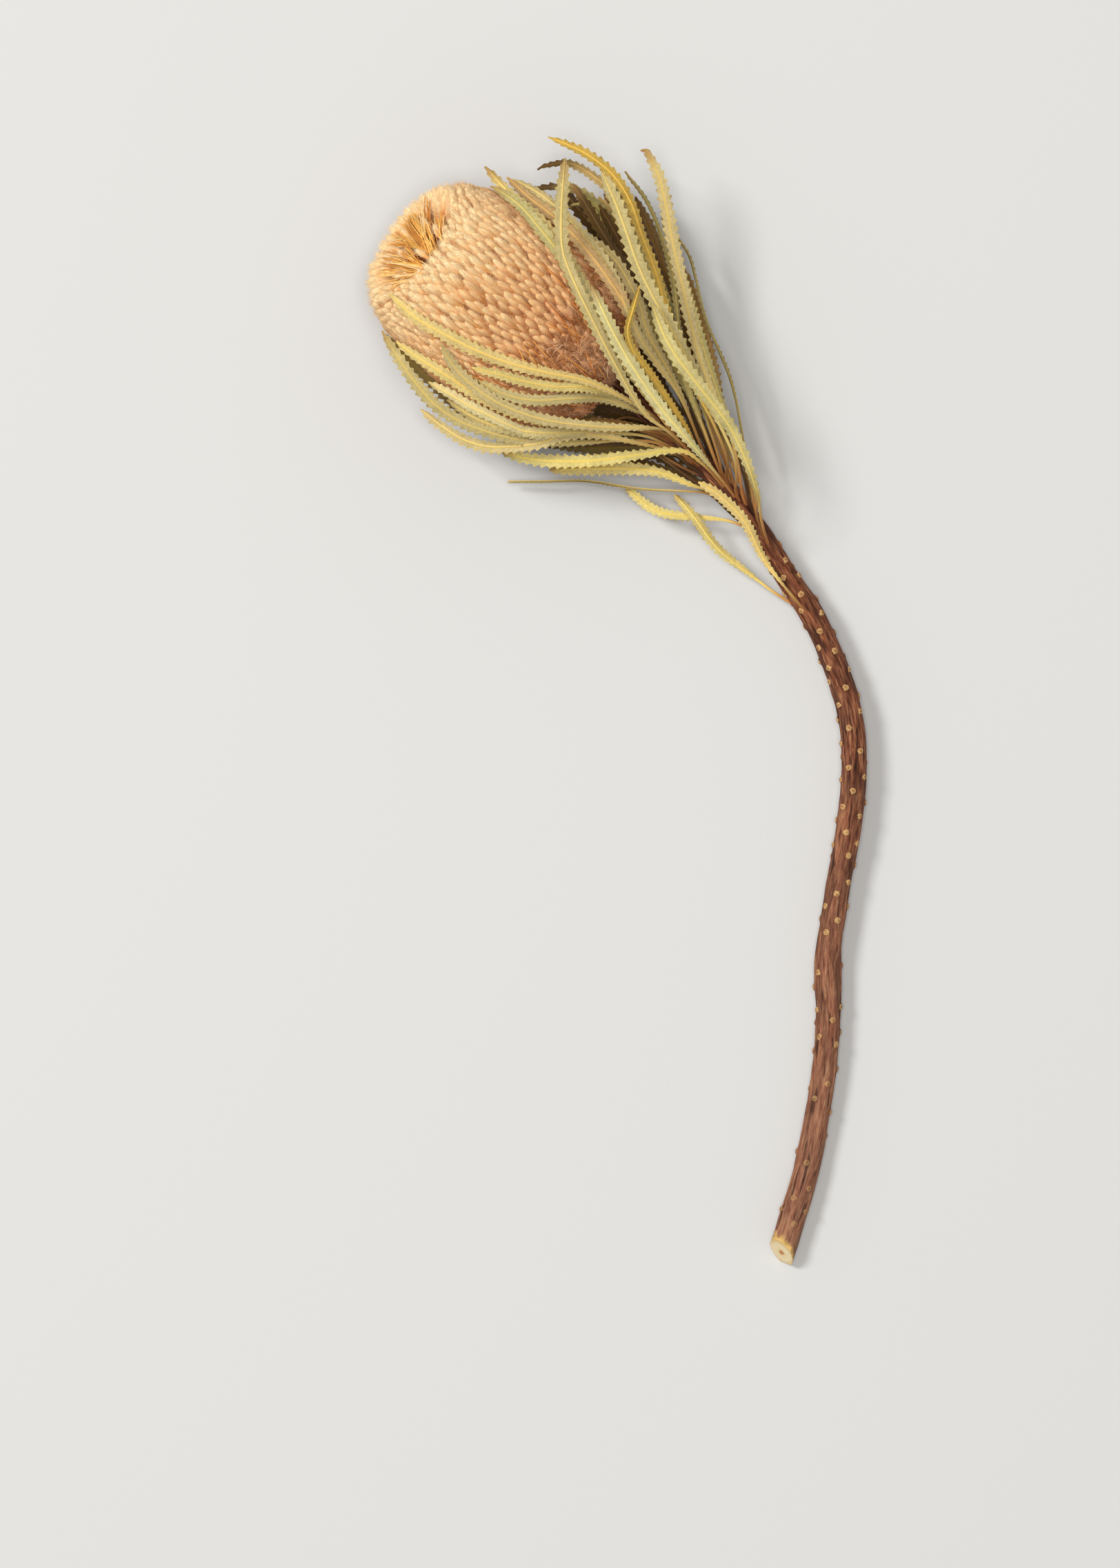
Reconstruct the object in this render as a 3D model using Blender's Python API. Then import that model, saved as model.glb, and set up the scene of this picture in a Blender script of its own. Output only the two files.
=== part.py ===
"""A cut banksia stem lying on a flat surface: one dried flower cone on a bowed woody stem with saw-toothed leaves.

All sizes below are millimetres. The frame is +Z up, +Y along the stem towards the cone, and the origin is
the centre of the flat spot that the cone lies on.
"""

import math
import random

import bmesh
import bpy
from mathutils import Vector

MM = 0.001
UP = Vector((0, 0, 1))

# The cone: its base on the stem, the way its axis points, and the outline of its floret tips
CONE_BASE = Vector((24.1, -16.2, 25.3))
CONE_HEADING = Vector((-0.828, 0.559, 0))  # the axis seen from above
CONE_TILT = math.radians(25)  # the tip stands higher than the base
CONE_OUTLINE = [  # (distance from the base, radius), out to the crown and down into its hollow
    (0, 9), (0.5, 13), (2, 19), (5, 26), (9, 31.5), (14, 35), (20, 37), (30, 38.4), (42, 38.2), (54, 37.2),
    (64, 36), (73, 34.6), (81, 33), (88, 30.8), (92, 28.5), (94, 25.5), (93.5, 22), (91, 18.5), (88, 14.5),
    (86, 9.5),
]
CONE_SIDE = CONE_OUTLINE[:16]  # the outline's outer part, up to the crown's rim
CROWN_TOP = CONE_SIDE[-1][0]
FLORETS_AROUND = 27
FLORET_ROWS = 40
FLORET_RISE = 3.6  # how far a floret stands out of the cone
FLORET_LEAN = 2.6  # how far its tip leans towards the cone's tip
FLORET_JITTER = 0.5
PRESSED_BELOW = 0.6  # florets lower than this are pressed onto the flat spot

# The stem: its centreline from the cone's base to the cut end, with the radius at each point
STEM_POINTS = [
    (44, -32, 18.5, 4.0), (60, -47, 14.5, 4.1), (74, -61, 12.5, 4.2), (86, -77, 11.5, 4.4),
    (96, -93, 11, 4.6), (106, -108, 11, 4.8), (114, -125, 11, 4.9), (120, -143, 11, 5.0),
    (122.4, -162, 10.5, 5.0), (121.5, -182, 10, 5.0), (118.4, -202, 9.3, 4.9), (115, -221, 8.6, 4.9),
    (112.6, -238, 8, 5.1), (112.4, -249, 7.6, 5.3), (112.6, -261, 7.2, 5.0), (111.4, -281, 6.6, 4.9),
    (108.3, -301, 6.1, 5.0), (104.6, -321, 5.7, 5.1), (98.8, -341, 5.5, 5.3), (93.5, -358, 5.45, 5.4),
]
STEM_TOP_RADIUS = 4.2
STEM_STEP = 9.0  # distance between the stem's rings
STEM_GAP = 0.3  # between the stem's top and the cone's base
CUT_POINT = Vector((94.5, -354.5, 5.2))
CUT_FACING = Vector((-0.62, -0.62, 0.48))  # the slanting cut faces down the stem, left and up

# Leaf scars: low round pads where old leaves fell, in a spiral up the bare stem
SCAR_FOOT_RADIUS = 1.9
SCAR_TOP_RADIUS = 0.9
SCAR_RISE = 0.55
SCAR_HEIGHT = 2.0  # most of it sunk into the stem
SCAR_SPACING = 7.6
SCAR_TURN = math.radians(137.5)
FIRST_SCAR = 126.0  # distance down the stem
SCAR_COUNT = 33

# The leaves
BLADE_THICKNESS = 1.3  # at the midrib
STALK_WIDTH = 1.5
STALK_HUG = 14.0  # how far a stalk keeps close to the stem before it parts from it
STALK_STAND_OFF = 2.0  # how far off the bark it is there
TEETH = 10  # on each side of a blade, larger than life
TOOTH_FORWARD = 0.68  # how far along its step a tooth's point lies, towards the leaf's tip
VALLEY_SHARE = 0.58  # of the blade's half width
BLADE_OUTLINE = [(0, 0.25), (0.2, 0.62), (0.45, 0.92), (0.75, 1), (0.92, 0.85), (1, 0.55)]  # widens, then blunt
STALK_SHARE = 0.26  # of the leaf's length
STALK_STEPS = 3
TIP_SHARE = 0.985  # where the last tooth ends
CONE_CLEARANCE = 1.2
FLOOR_CLEARANCE = 0.4

# Each leaf: (root's distance down the stem, width, roll at root, roll at tip, points from root to tip)
UPPER_LEAVES = [
    (104, 7.4, 10, 0, [(91, -78, 32), (83, -58, 44), (74, -38, 53), (60, -20, 61), (50, -6, 64), (44, 8.5, 63)]),
    (84, 8.0, 0, 0, [(76, -50, 42), (62, -20, 52), (51, 0, 57), (40, 20.5, 59), (32, 43, 56), (25, 60, 50)]),
    (78, 6.6, 0, 35, [(72, -45, 36), (55, -10, 45), (46, 20, 49), (40, 36, 50), (33, 54, 50), (20, 66, 49),
                      (4.5, 73.5, 46)]),
    (86, 6.6, 10, -20, [(76, -45, 33), (63, -12, 35), (58, 8, 37), (53, 30, 39), (49, 50, 42), (44.5, 66, 43),
                        (40, 68.5, 41)]),
    (80, 5.2, 60, 75, [(70, -40, 27), (56, -5, 31), (52, 22, 34), (44, 46, 36), (34, 61, 34)]),
    (98, 5.2, 60, 80, [(88, -72, 25), (80, -45, 24), (75, -20, 24), (65, 5, 25), (59, 28, 26), (52, 39, 27)]),
    (90, 6.6, -20, -30, [(80, -52, 20), (72, -33, 19), (67, -10, 18), (61, 12, 17), (55, 27, 16)]),
    (62, 7.4, 10, 0, [(52, -40, 42), (40, -31, 56), (25, -5, 72), (17, 11, 77), (10.5, 26, 77), (9.5, 42, 73),
                      (11, 64, 62)]),
    (56, 7.4, 0, -10, [(48, -34, 42), (30, -8, 64), (12, 18, 70), (0, 36, 69), (-7, 44, 68), (-19.5, 61, 60)]),
    (82, 7.0, 0, 0, [(77, -61, 36), (61, -46, 50), (47, -30, 60), (34, -11, 69), (25, 6, 75), (21, 15, 76)]),
    (50, 6.6, -10, -15, [(42, -26, 46), (24, -2, 66), (10, 18, 70), (-4, 33, 70), (-12, 42, 68), (-19, 51, 65)]),
    (54, 7.0, 0, -10, [(46, -26, 38), (24, 12, 58), (7, 37.5, 60), (-4, 50, 57), (-11, 57.5, 53)]),
    (66, 7.0, 0, -10, [(54, -24, 40), (33, 4, 58), (19, 31, 57), (7, 46.5, 54), (-3, 54, 50), (-9, 57, 47)]),
    (70, 7.0, 0, 60, [(56, -20, 33), (38, 14, 43), (30, 29, 42), (23, 45, 41), (17, 50, 40), (13, 47, 35)]),
    (64, 6.6, 0, 0, [(54, -22, 36), (36, 9, 50), (29, 22, 50), (22, 31, 49), (17, 37, 46)]),
    (76, 5.6, 20, 60, [(62, -22, 27), (46, 22, 29), (30, 52, 30), (18, 61, 33), (8, 65.5, 34), (0.5, 62, 29)]),
    (68, 7.0, 20, 50, [(55, -10, 20), (36, 30, 24), (22, 50, 29), (8, 55, 33), (-4, 54, 32)]),
    (66, 5.0, 0, 40, [(57, -37, 42), (45, -20, 57), (35, -6, 70), (36, 4, 74), (39, 15, 73)]),
]
LOWER_LEAVES = [
    (44, 7.4, 0, 10, [(46, -34, 38), (38, -29, 52), (20, -21, 68), (0, -16, 74), (-20, -9.5, 79), (-40, 2, 82),
                      (-54.5, 15.5, 79)]),
    (38, 6.0, 0, 10, [(38, -29, 44), (20, -22, 62), (5, -20, 67), (-5, -18, 70), (-15, -15, 72), (-24, -14, 73)]),
    (48, 7.0, 0, 20, [(40, -38, 36), (18, -36, 52), (0, -32, 58), (-20, -24, 64), (-38, -11.5, 68),
                      (-51, -2, 66)]),
    (52, 7.4, 0, 0, [(48, -38, 46), (38, -38, 54), (20, -37.5, 60), (0, -34.5, 64), (-18, -27, 69),
                     (-30, -16, 73), (-35, -4, 76)]),
    (46, 6.6, 10, 20, [(30, -36, 32), (0, -33, 48), (-15, -28, 54), (-33, -22, 56), (-41, -20.5, 54)]),
    (42, 6.6, 0, 10, [(38, -31, 46), (28, -27.5, 55), (15, -25, 62), (-5, -25, 66), (-13, -23.5, 68),
                      (-22, -20, 70)]),
    (58, 7.6, 15, 10, [(42, -42, 28), (0, -43, 44), (-30, -35, 53), (-45, -22, 59), (-54, -8, 63), (-57.5, 0, 63)]),
    (62, 7.4, 10, 0, [(52, -46, 30), (18, -40, 46), (-2, -44, 45), (-22, -44, 40), (-37, -36, 35),
                      (-44, -30, 31)]),
    (56, 6.6, 10, 10, [(40, -40, 33), (8, -39, 51), (-12, -38, 51), (-25, -33, 48), (-34, -27, 46)]),
    (74, 7.4, 0, 0, [(66, -53, 26), (56, -46, 34), (40, -47.5, 37), (20, -50, 37), (0, -49.5, 35), (-14, -46, 31)]),
    (80, 7.4, 10, 0, [(72, -67, 19), (60, -59, 25), (45, -53.5, 28), (25, -52.5, 28), (5, -53, 24)]),
    (78, 4.6, 60, 80, [(60, -61, 15), (40, -60, 15), (20, -57, 13), (3, -57, 11), (-11, -57, 8)]),
    (92, 5.6, 0, 0, [(80, -83, 12), (65, -76, 14), (48, -69, 14), (34, -59, 12)]),
    (126, 6.0, 0, 30, [(84, -94, 11), (70, -83, 15), (60, -70, 17), (53, -62, 17)]),
    (130, 6.0, 0, 10, [(88, -88, 20), (80, -73, 28), (70, -63, 34), (62, -58, 36)]),
]
# Leaves underneath and beside the cone follow a rule
HIDDEN_LEAVES = 14
HIDDEN_ROOTS = (12, 72)  # the first and last root down the stem
HIDDEN_REACH = (44, 80)  # how far along the cone their tips come
HIDDEN_SPREAD = (25, 38)  # how far to either side of the cone's axis
HIDDEN_WIDTH = 6.6
SEED = 7


def cone_axis():
    return (CONE_HEADING.normalized() * math.cos(CONE_TILT) + UP * math.sin(CONE_TILT)).normalized()


AXIS = cone_axis()
SIDE = AXIS.cross(UP).normalized()  # level, across the cone
CREST = SIDE.cross(AXIS)  # across the cone and upwards


def clear_scene():
    for obj in list(bpy.data.objects):
        bpy.data.objects.remove(obj, do_unlink=True)


def new_collection(name):
    collection = bpy.data.collections.new(name)
    bpy.context.scene.collection.children.link(collection)
    return collection


def material(name, colour, roughness):
    made = bpy.data.materials.new(name)
    made.use_nodes = True
    shader = made.node_tree.nodes["Principled BSDF"]
    shader.inputs["Base Color"].default_value = (*colour, 1)
    shader.inputs["Roughness"].default_value = roughness
    shader.inputs["Metallic"].default_value = 0
    made.diffuse_color = (*colour, 1)
    return made


def mesh_object(name, points, faces, collection, made_of):
    """An object from points in millimetres."""
    mesh = bpy.data.meshes.new(name)
    mesh.from_pydata([Vector(p) * MM for p in points], [], faces)
    mesh.materials.append(made_of)
    obj = bpy.data.objects.new(name, mesh)
    collection.objects.link(obj)
    return obj


def smooth_curve(points, count):
    """Count evenly spaced points on a Catmull-Rom curve through the given ones."""
    points = [Vector(p) for p in points]
    ends = [points[0] * 2 - points[1], *points, points[-1] * 2 - points[-2]]
    fine = []
    for a, b, c, d in zip(ends, ends[1:], ends[2:], ends[3:]):
        for k in range(12):
            t = k / 12
            fine.append(
                (b * 2 + (c - a) * t + (a * 2 - b * 5 + c * 4 - d) * t**2 + (b * 3 - a - c * 3 + d) * t**3) / 2
            )
    fine.append(points[-1])
    run = [0.0]
    for p, q in zip(fine, fine[1:]):
        run.append(run[-1] + (q - p).length)
    found = []
    for k in range(count):
        want = run[-1] * k / (count - 1)
        i = next((i for i in range(1, len(run)) if run[i] >= want), len(run) - 1)
        share = (want - run[i - 1]) / max(run[i] - run[i - 1], 1e-9)
        found.append(fine[i - 1].lerp(fine[i], min(max(share, 0), 1)))
    return found


def read_table(table, at):
    """The value at a place in a table of (place, value), on straight lines between its rows."""
    for (x0, y0), (x1, y1) in zip(table, table[1:]):
        if x0 <= at <= x1:
            return y0 + (y1 - y0) * (at - x0) / (x1 - x0)
    return 0.0


# The stem

def stem_centreline():
    """Points (x, y, z, radius) from the cone's base down to past the cut."""
    start = CONE_BASE - AXIS * STEM_GAP
    below = CONE_BASE - AXIS * 9
    given = [(*start, STEM_TOP_RADIUS), (*below, STEM_TOP_RADIUS), *STEM_POINTS]
    length = sum((Vector(q[:3]) - Vector(p[:3])).length for p, q in zip(given, given[1:]))
    return smooth_curve(given, round(length / STEM_STEP) + 1)


STEM = stem_centreline()
STEM_RUN = [0.0]
for upper, lower in zip(STEM, STEM[1:]):
    STEM_RUN.append(STEM_RUN[-1] + (lower.xyz - upper.xyz).length)


def stem_at(distance):
    """(centre, direction towards the cone, radius) at a distance down the stem."""
    i = next((i for i in range(1, len(STEM_RUN)) if STEM_RUN[i] >= distance), len(STEM_RUN) - 1)
    share = (distance - STEM_RUN[i - 1]) / (STEM_RUN[i] - STEM_RUN[i - 1])
    here = STEM[i - 1].lerp(STEM[i], share)
    return here.xyz, (STEM[i - 1].xyz - STEM[i].xyz).normalized(), here.w


def make_stem(collection, bark):
    """The bowed stem, a bevelled curve that tapers, made a mesh and cut aslant at its foot."""
    curve = bpy.data.curves.new("stem_line", "CURVE")
    curve.dimensions = "3D"
    curve.bevel_depth = MM
    curve.bevel_resolution = 3
    curve.use_fill_caps = True
    spline = curve.splines.new("POLY")
    spline.points.add(len(STEM) - 1)
    for point, here in zip(spline.points, STEM):
        point.co = (*(here.xyz * MM), 1)
        point.radius = here.w
    guide = bpy.data.objects.new("stem_line", curve)
    collection.objects.link(guide)
    bpy.context.view_layer.update()
    graph = bpy.context.evaluated_depsgraph_get()
    mesh = bpy.data.meshes.new_from_object(guide.evaluated_get(graph))
    bpy.data.objects.remove(guide, do_unlink=True)
    work = bmesh.new()
    work.from_mesh(mesh)
    bmesh.ops.remove_doubles(work, verts=work.verts, dist=0.01 * MM)
    cut = bmesh.ops.bisect_plane(
        work,
        geom=work.verts[:] + work.edges[:] + work.faces[:],
        plane_co=CUT_POINT * MM,
        plane_no=CUT_FACING,
        clear_outer=True,
    )
    rim = [e for e in cut["geom_cut"] if isinstance(e, bmesh.types.BMEdge)]
    bmesh.ops.holes_fill(work, edges=rim)
    bmesh.ops.recalc_face_normals(work, faces=work.faces)
    work.to_mesh(mesh)
    work.free()
    mesh.materials.clear()
    mesh.materials.append(bark)
    stem = bpy.data.objects.new("leafy_stem", mesh)
    collection.objects.link(stem)
    return stem


def make_scars(collection, bark):
    """Leaf scars as low cones with flat tops, sunk into the stem, one turn of a spiral apart."""
    for k in range(SCAR_COUNT):
        centre, along, radius = stem_at(FIRST_SCAR + k * SCAR_SPACING)
        across = along.cross(UP).normalized()
        over = across.cross(along)
        out = across * math.cos(k * SCAR_TURN) + over * math.sin(k * SCAR_TURN)
        work = bmesh.new()
        bmesh.ops.create_cone(
            work,
            cap_ends=True,
            segments=6,
            radius1=SCAR_FOOT_RADIUS * MM,
            radius2=SCAR_TOP_RADIUS * MM,
            depth=SCAR_HEIGHT * MM,
        )
        mesh = bpy.data.meshes.new("scar")
        work.to_mesh(mesh)
        work.free()
        mesh.materials.append(bark)
        scar = bpy.data.objects.new(f"scar_{k:02d}", mesh)
        scar.rotation_mode = "QUATERNION"
        scar.rotation_quaternion = out.to_track_quat("Z", "Y")
        scar.location = (centre + out * (radius + SCAR_RISE - SCAR_HEIGHT / 2)) * MM
        collection.objects.link(scar)


# The leaves

def outward(point):
    """(way out from the cone's axis, how far the point is inside the cone's clearance)."""
    along = (point - CONE_BASE).dot(AXIS)
    off = point - CONE_BASE - AXIS * along
    wanted = 0.0
    if -CONE_CLEARANCE <= along <= CROWN_TOP + FLORET_LEAN + CONE_CLEARANCE:
        places = [min(max(place, 0), CROWN_TOP) for place in (along, along - FLORET_LEAN)]
        wanted = max(read_table(CONE_SIDE, place) for place in places) + CONE_CLEARANCE
    return off.normalized(), wanted - off.length


def keep_clear(centres, halves):
    """Centres moved out until each cross-section, whose half is the vector in halves, clears cone and floor."""
    for _ in range(5):
        shifts = []
        for centre, half in zip(centres, halves):
            way, _ = outward(centre)
            inside = max(outward(p)[1] for p in (centre, centre + half, centre - half))
            shifts.append(way * max(inside, 0))
        for i, centre in enumerate(centres):
            nearby = (shifts[max(i - 1, 0)] + shifts[min(i + 1, len(shifts) - 1)]) / 2
            centres[i] = centre + (shifts[i] if shifts[i].length > nearby.length * 0.5 else nearby * 0.5)
    lifted = []
    for centre, half in zip(centres, halves):
        low = centre.z - abs(half.z) - BLADE_THICKNESS / 2 - FLOOR_CLEARANCE
        lifted.append(centre + UP * max(-low, 0))
    return lifted


def leaf_line(root, points, count):
    """A leaf's midrib: out of the stem towards the cone, hugging it at first, then through the points."""
    centre, along, radius = stem_at(root)
    ahead, ahead_way, _ = stem_at(max(root - STALK_HUG, 0))
    side = Vector(points[0]) - ahead
    side = (side - ahead_way * side.dot(ahead_way)).normalized()
    leave = ahead + side * (radius + STALK_STAND_OFF)
    passed = (leave - centre).dot(along) + STALK_WIDTH * 2
    later = [Vector(p) for p in points if (Vector(p) - centre).dot(along) > passed]
    return smooth_curve([centre, leave, *later], count)


def leaf_frames(line, roll_root, roll_tip):
    """(tangent, blade normal) along a leaf: the blade faces up and away from the cone, rolled about its midrib."""
    frames = []
    for i, here in enumerate(line):
        tangent = (line[min(i + 1, len(line) - 1)] - line[max(i - 1, 0)]).normalized()
        way, inside = outward(here)
        near = max(0.0, 1 - max(-inside, 0) / 30)
        facing = UP + way * near
        facing = (facing - tangent * facing.dot(tangent)).normalized()
        share = i / (len(line) - 1)
        roll = math.radians(roll_root + (roll_tip - roll_root) * share)
        facing = facing * math.cos(roll) + tangent.cross(facing) * math.sin(roll)
        frames.append((tangent, facing))
    return frames


def half_width(share, width):
    """Half the blade's width at a share of its length."""
    return width / 2 * read_table(BLADE_OUTLINE, min(max(share, 0), 1))


def make_leaf(name, collection, green, leaf):
    """One leaf: a four-sided stalk, then a blade with teeth, thick at the midrib and thin at its edge.

    Each blade step has one tooth a side. Upper and lower faces are split into triangles alike.
    """
    root, width, roll_root, roll_tip, points = leaf
    steps = STALK_STEPS + TEETH
    shares = [STALK_SHARE * k / STALK_STEPS for k in range(STALK_STEPS)]
    shares += [STALK_SHARE + (TIP_SHARE - STALK_SHARE) * k / TEETH for k in range(TEETH + 1)] + [1]
    fine = leaf_line(root, points, 201)
    line = [fine[round(share * (len(fine) - 1))] for share in shares]
    frames = leaf_frames(line, roll_root, roll_tip)
    blade_share = [(share - STALK_SHARE) / (1 - STALK_SHARE) for share in shares]
    reach = [half_width(b, width) if b >= 0 else STALK_WIDTH / 2 for b in blade_share]
    across = [t.cross(n).normalized() for t, n in frames]
    line = keep_clear(line, [a * r for a, r in zip(across, reach)])

    spots, faces = [], []

    def spot(p):
        spots.append(p)
        return len(spots) - 1

    rings = []  # upper midrib, left edge, lower midrib, right edge
    for i in range(steps + 1):
        thick = BLADE_THICKNESS / 2
        edge = STALK_WIDTH / 2 if i <= STALK_STEPS else reach[i] * VALLEY_SHARE
        normal = frames[i][1]
        rings.append([
            spot(line[i] + normal * thick), spot(line[i] + across[i] * edge),
            spot(line[i] - normal * thick), spot(line[i] - across[i] * edge),
        ])
    tip = spot(line[-1])

    def tooth(i, side):
        """The point of the tooth between steps i and i + 1, set towards the leaf's tip."""
        place = line[i].lerp(line[i + 1], TOOTH_FORWARD)
        way = across[i].lerp(across[i + 1], TOOTH_FORWARD)
        wide = reach[i] + (reach[i + 1] - reach[i]) * TOOTH_FORWARD
        return spot(place + way * wide * side)

    faces.append((rings[0][3], rings[0][2], rings[0][1], rings[0][0]))
    for i in range(steps + 1):
        top, left, bottom, right = rings[i]
        last = i == steps
        top2, left2, bottom2, right2 = (tip, tip, tip, tip) if last else rings[i + 1]
        if i < STALK_STEPS or last:
            for a, b, a2, b2 in (
                (top, left, top2, left2), (left, bottom, left2, bottom2),
                (bottom, right, bottom2, right2), (right, top, right2, top2),
            ):
                if last:
                    faces.append((a, b, tip))
                else:
                    faces.append((a, b, b2))
                    faces.append((a, b2, a2))
            continue
        for edge, edge2, side in ((left, left2, 1), (right, right2, -1)):
            point = tooth(i, side)
            for rib, rib2, flip in ((top, top2, side < 0), (bottom, bottom2, side > 0)):
                for face in ((rib, edge, point), (rib, point, rib2), (rib2, point, edge2)):
                    faces.append(face[::-1] if flip else face)
    return mesh_object(name, spots, faces, collection, green)


def hidden_leaves():
    """Leaves under and beside the cone, alternately left and right, low near the floor or higher up the flank."""
    draw = random.Random(SEED)
    heading = CONE_HEADING.normalized()
    left = UP.cross(heading)
    base = Vector((CONE_BASE.x, CONE_BASE.y, 0))
    found = []
    for k in range(HIDDEN_LEAVES):
        side = 1 if k % 2 else -1
        rank = (k // 2) / (HIDDEN_LEAVES // 2 - 1)
        root = HIDDEN_ROOTS[0] + (HIDDEN_ROOTS[1] - HIDDEN_ROOTS[0]) * k / (HIDDEN_LEAVES - 1)
        reach = draw.uniform(*HIDDEN_REACH)
        spread = side * draw.uniform(*HIDDEN_SPREAD)
        low = 3 + 26 * rank + draw.uniform(-1, 1)
        points = [
            base + heading * -12 + left * side * 14 + UP * (12 + 6 * rank),
            base + heading * reach * 0.35 + left * spread * 0.9 + UP * low,
            base + heading * reach * 0.7 + left * spread * 1.05 + UP * (low + 2),
            base + heading * reach + left * spread * draw.uniform(0.85, 1.15) + UP * (low + draw.uniform(-2, 8)),
        ]
        found.append((root, HIDDEN_WIDTH, draw.uniform(-25, 25), draw.uniform(-40, 40), points))
    return found


def join_into(target, collection):
    """One Boolean union of a collection into an object, applied, with the collection's objects then removed."""
    join = target.modifiers.new("join", "BOOLEAN")
    join.operation = "UNION"
    join.operand_type = "COLLECTION"
    join.collection = collection
    join.solver = "MANIFOLD"
    bpy.context.view_layer.update()
    graph = bpy.context.evaluated_depsgraph_get()
    whole = bpy.data.meshes.new_from_object(target.evaluated_get(graph))
    target.modifiers.remove(join)
    target.data = whole
    for obj in list(collection.objects):
        bpy.data.objects.remove(obj, do_unlink=True)
    bpy.data.collections.remove(collection)


# The cone

def make_cone(collection, floret):
    """The cone as a net of points round its outline, in which every second point is the tip of a floret.

    Each net cell is split along its two low corners, so that each floret is a leaning four-sided point.
    """
    draw = random.Random(SEED)
    outline = smooth_curve([(along, radius, 0) for along, radius in CONE_OUTLINE], FLORET_ROWS + 1)
    columns = FLORETS_AROUND * 2
    spots, net = [], []
    for j, here in enumerate(outline):
        ahead = outline[min(j + 1, FLORET_ROWS)] - outline[max(j - 1, 0)]
        ahead.normalize()
        end = j in (0, FLORET_ROWS)
        row = []
        for i in range(columns):
            turn = 2 * math.pi * i / columns
            out = CREST * math.cos(turn) + SIDE * math.sin(turn)
            normal = (out * ahead.x - AXIS * ahead.y).normalized()
            tip = CONE_BASE + AXIS * here.x + out * here.y
            low = tip - normal * (0 if end else FLORET_RISE)
            raised = (i + j) % 2 == 0 and not end
            jitter = Vector([draw.uniform(-FLORET_JITTER, FLORET_JITTER) for _ in range(3)])
            point = tip + AXIS * FLORET_LEAN + jitter if raised else low
            if tip.z < PRESSED_BELOW:
                point = Vector((point.x, point.y, 0))
            point.z = max(point.z, 0)
            spots.append(point)
            row.append(len(spots) - 1)
        net.append(row)
    faces = [tuple(net[0]), tuple(reversed(net[-1]))]
    for j in range(FLORET_ROWS):
        for i in range(columns):
            k = (i + 1) % columns
            a, b, c, d = net[j][i], net[j][k], net[j + 1][k], net[j + 1][i]
            if (i + j) % 2 == 0:
                faces += [(a, d, b), (c, b, d)]
            else:
                faces += [(b, a, c), (d, c, a)]
    cone = mesh_object("cone", spots, faces, collection, floret)
    work = bmesh.new()
    work.from_mesh(cone.data)
    bmesh.ops.recalc_face_normals(work, faces=work.faces)
    work.to_mesh(cone.data)
    work.free()
    return cone


def main():
    clear_scene()
    part = new_collection("banksia_stem")
    joined = new_collection("leaves_and_scars")
    bark = material("bark", (0.20, 0.085, 0.045), 0.8)
    green = material("leaf", (0.42, 0.40, 0.19), 0.6)
    floret = material("floret", (0.66, 0.42, 0.24), 0.95)
    make_cone(part, floret)
    stem = make_stem(part, bark)
    make_scars(joined, bark)
    for k, leaf in enumerate(UPPER_LEAVES + LOWER_LEAVES + hidden_leaves()):
        make_leaf(f"leaf_{k:02d}", joined, green, leaf)
    join_into(stem, joined)


main()
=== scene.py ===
import math
import random

import bmesh
import bpy
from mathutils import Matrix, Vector


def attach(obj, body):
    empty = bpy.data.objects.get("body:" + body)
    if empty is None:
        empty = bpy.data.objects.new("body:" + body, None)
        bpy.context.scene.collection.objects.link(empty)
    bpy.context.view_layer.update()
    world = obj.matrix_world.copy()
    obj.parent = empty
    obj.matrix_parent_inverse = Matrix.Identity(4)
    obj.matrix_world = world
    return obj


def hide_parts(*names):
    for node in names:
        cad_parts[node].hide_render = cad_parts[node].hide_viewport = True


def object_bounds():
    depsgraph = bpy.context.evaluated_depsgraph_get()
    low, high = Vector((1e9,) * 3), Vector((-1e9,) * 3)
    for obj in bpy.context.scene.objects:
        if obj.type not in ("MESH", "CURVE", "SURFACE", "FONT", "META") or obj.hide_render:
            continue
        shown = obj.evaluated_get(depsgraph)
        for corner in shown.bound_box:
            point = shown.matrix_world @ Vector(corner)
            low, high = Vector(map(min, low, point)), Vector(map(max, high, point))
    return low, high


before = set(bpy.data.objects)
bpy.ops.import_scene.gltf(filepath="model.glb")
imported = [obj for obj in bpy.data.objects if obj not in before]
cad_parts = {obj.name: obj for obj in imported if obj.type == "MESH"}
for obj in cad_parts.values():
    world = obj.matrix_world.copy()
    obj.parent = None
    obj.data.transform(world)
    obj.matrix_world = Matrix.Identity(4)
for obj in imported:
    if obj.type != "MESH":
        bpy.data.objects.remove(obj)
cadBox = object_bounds()
mm = 0.001  # every size below is in millimetres until a mesh is made
up = Vector((0, 0, 1))


# Small helpers

# sRGB hex to linear red, green, blue and alpha
def toLinear(code):
    parts = [int(code[k:k + 2], 16) / 255 for k in (0, 2, 4)]
    return (*[c / 12.92 if c <= 0.04045 else ((c + 0.055) / 1.055) ** 2.4 for c in parts], 1)


# Links or sets a node's inputs, each by its name or by its place among those enabled
def setInputs(tree, node, links):
    for key, value in links.items():
        shown = [s for s in node.inputs if s.enabled]
        socket = shown[key] if isinstance(key, int) else next(s for s in shown if s.name == key)
        if isinstance(value, bpy.types.Node):
            value = next(s for s in value.outputs if s.enabled)
        if isinstance(value, bpy.types.NodeSocket):
            tree.links.new(value, socket)
        else:
            socket.default_value = value


def addNode(tree, kind, settings=None, links=None):
    node = tree.nodes.new(kind)
    for name, value in (settings or {}).items():
        if name != "stops":
            setattr(node, name, value)
            continue
        ramp = node.color_ramp
        while len(ramp.elements) < len(value):
            ramp.elements.new(1)
        for element, (place, colour) in zip(ramp.elements, value):
            element.position = place
            element.color = toLinear(colour)
    setInputs(tree, node, links or {})
    return node


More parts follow.
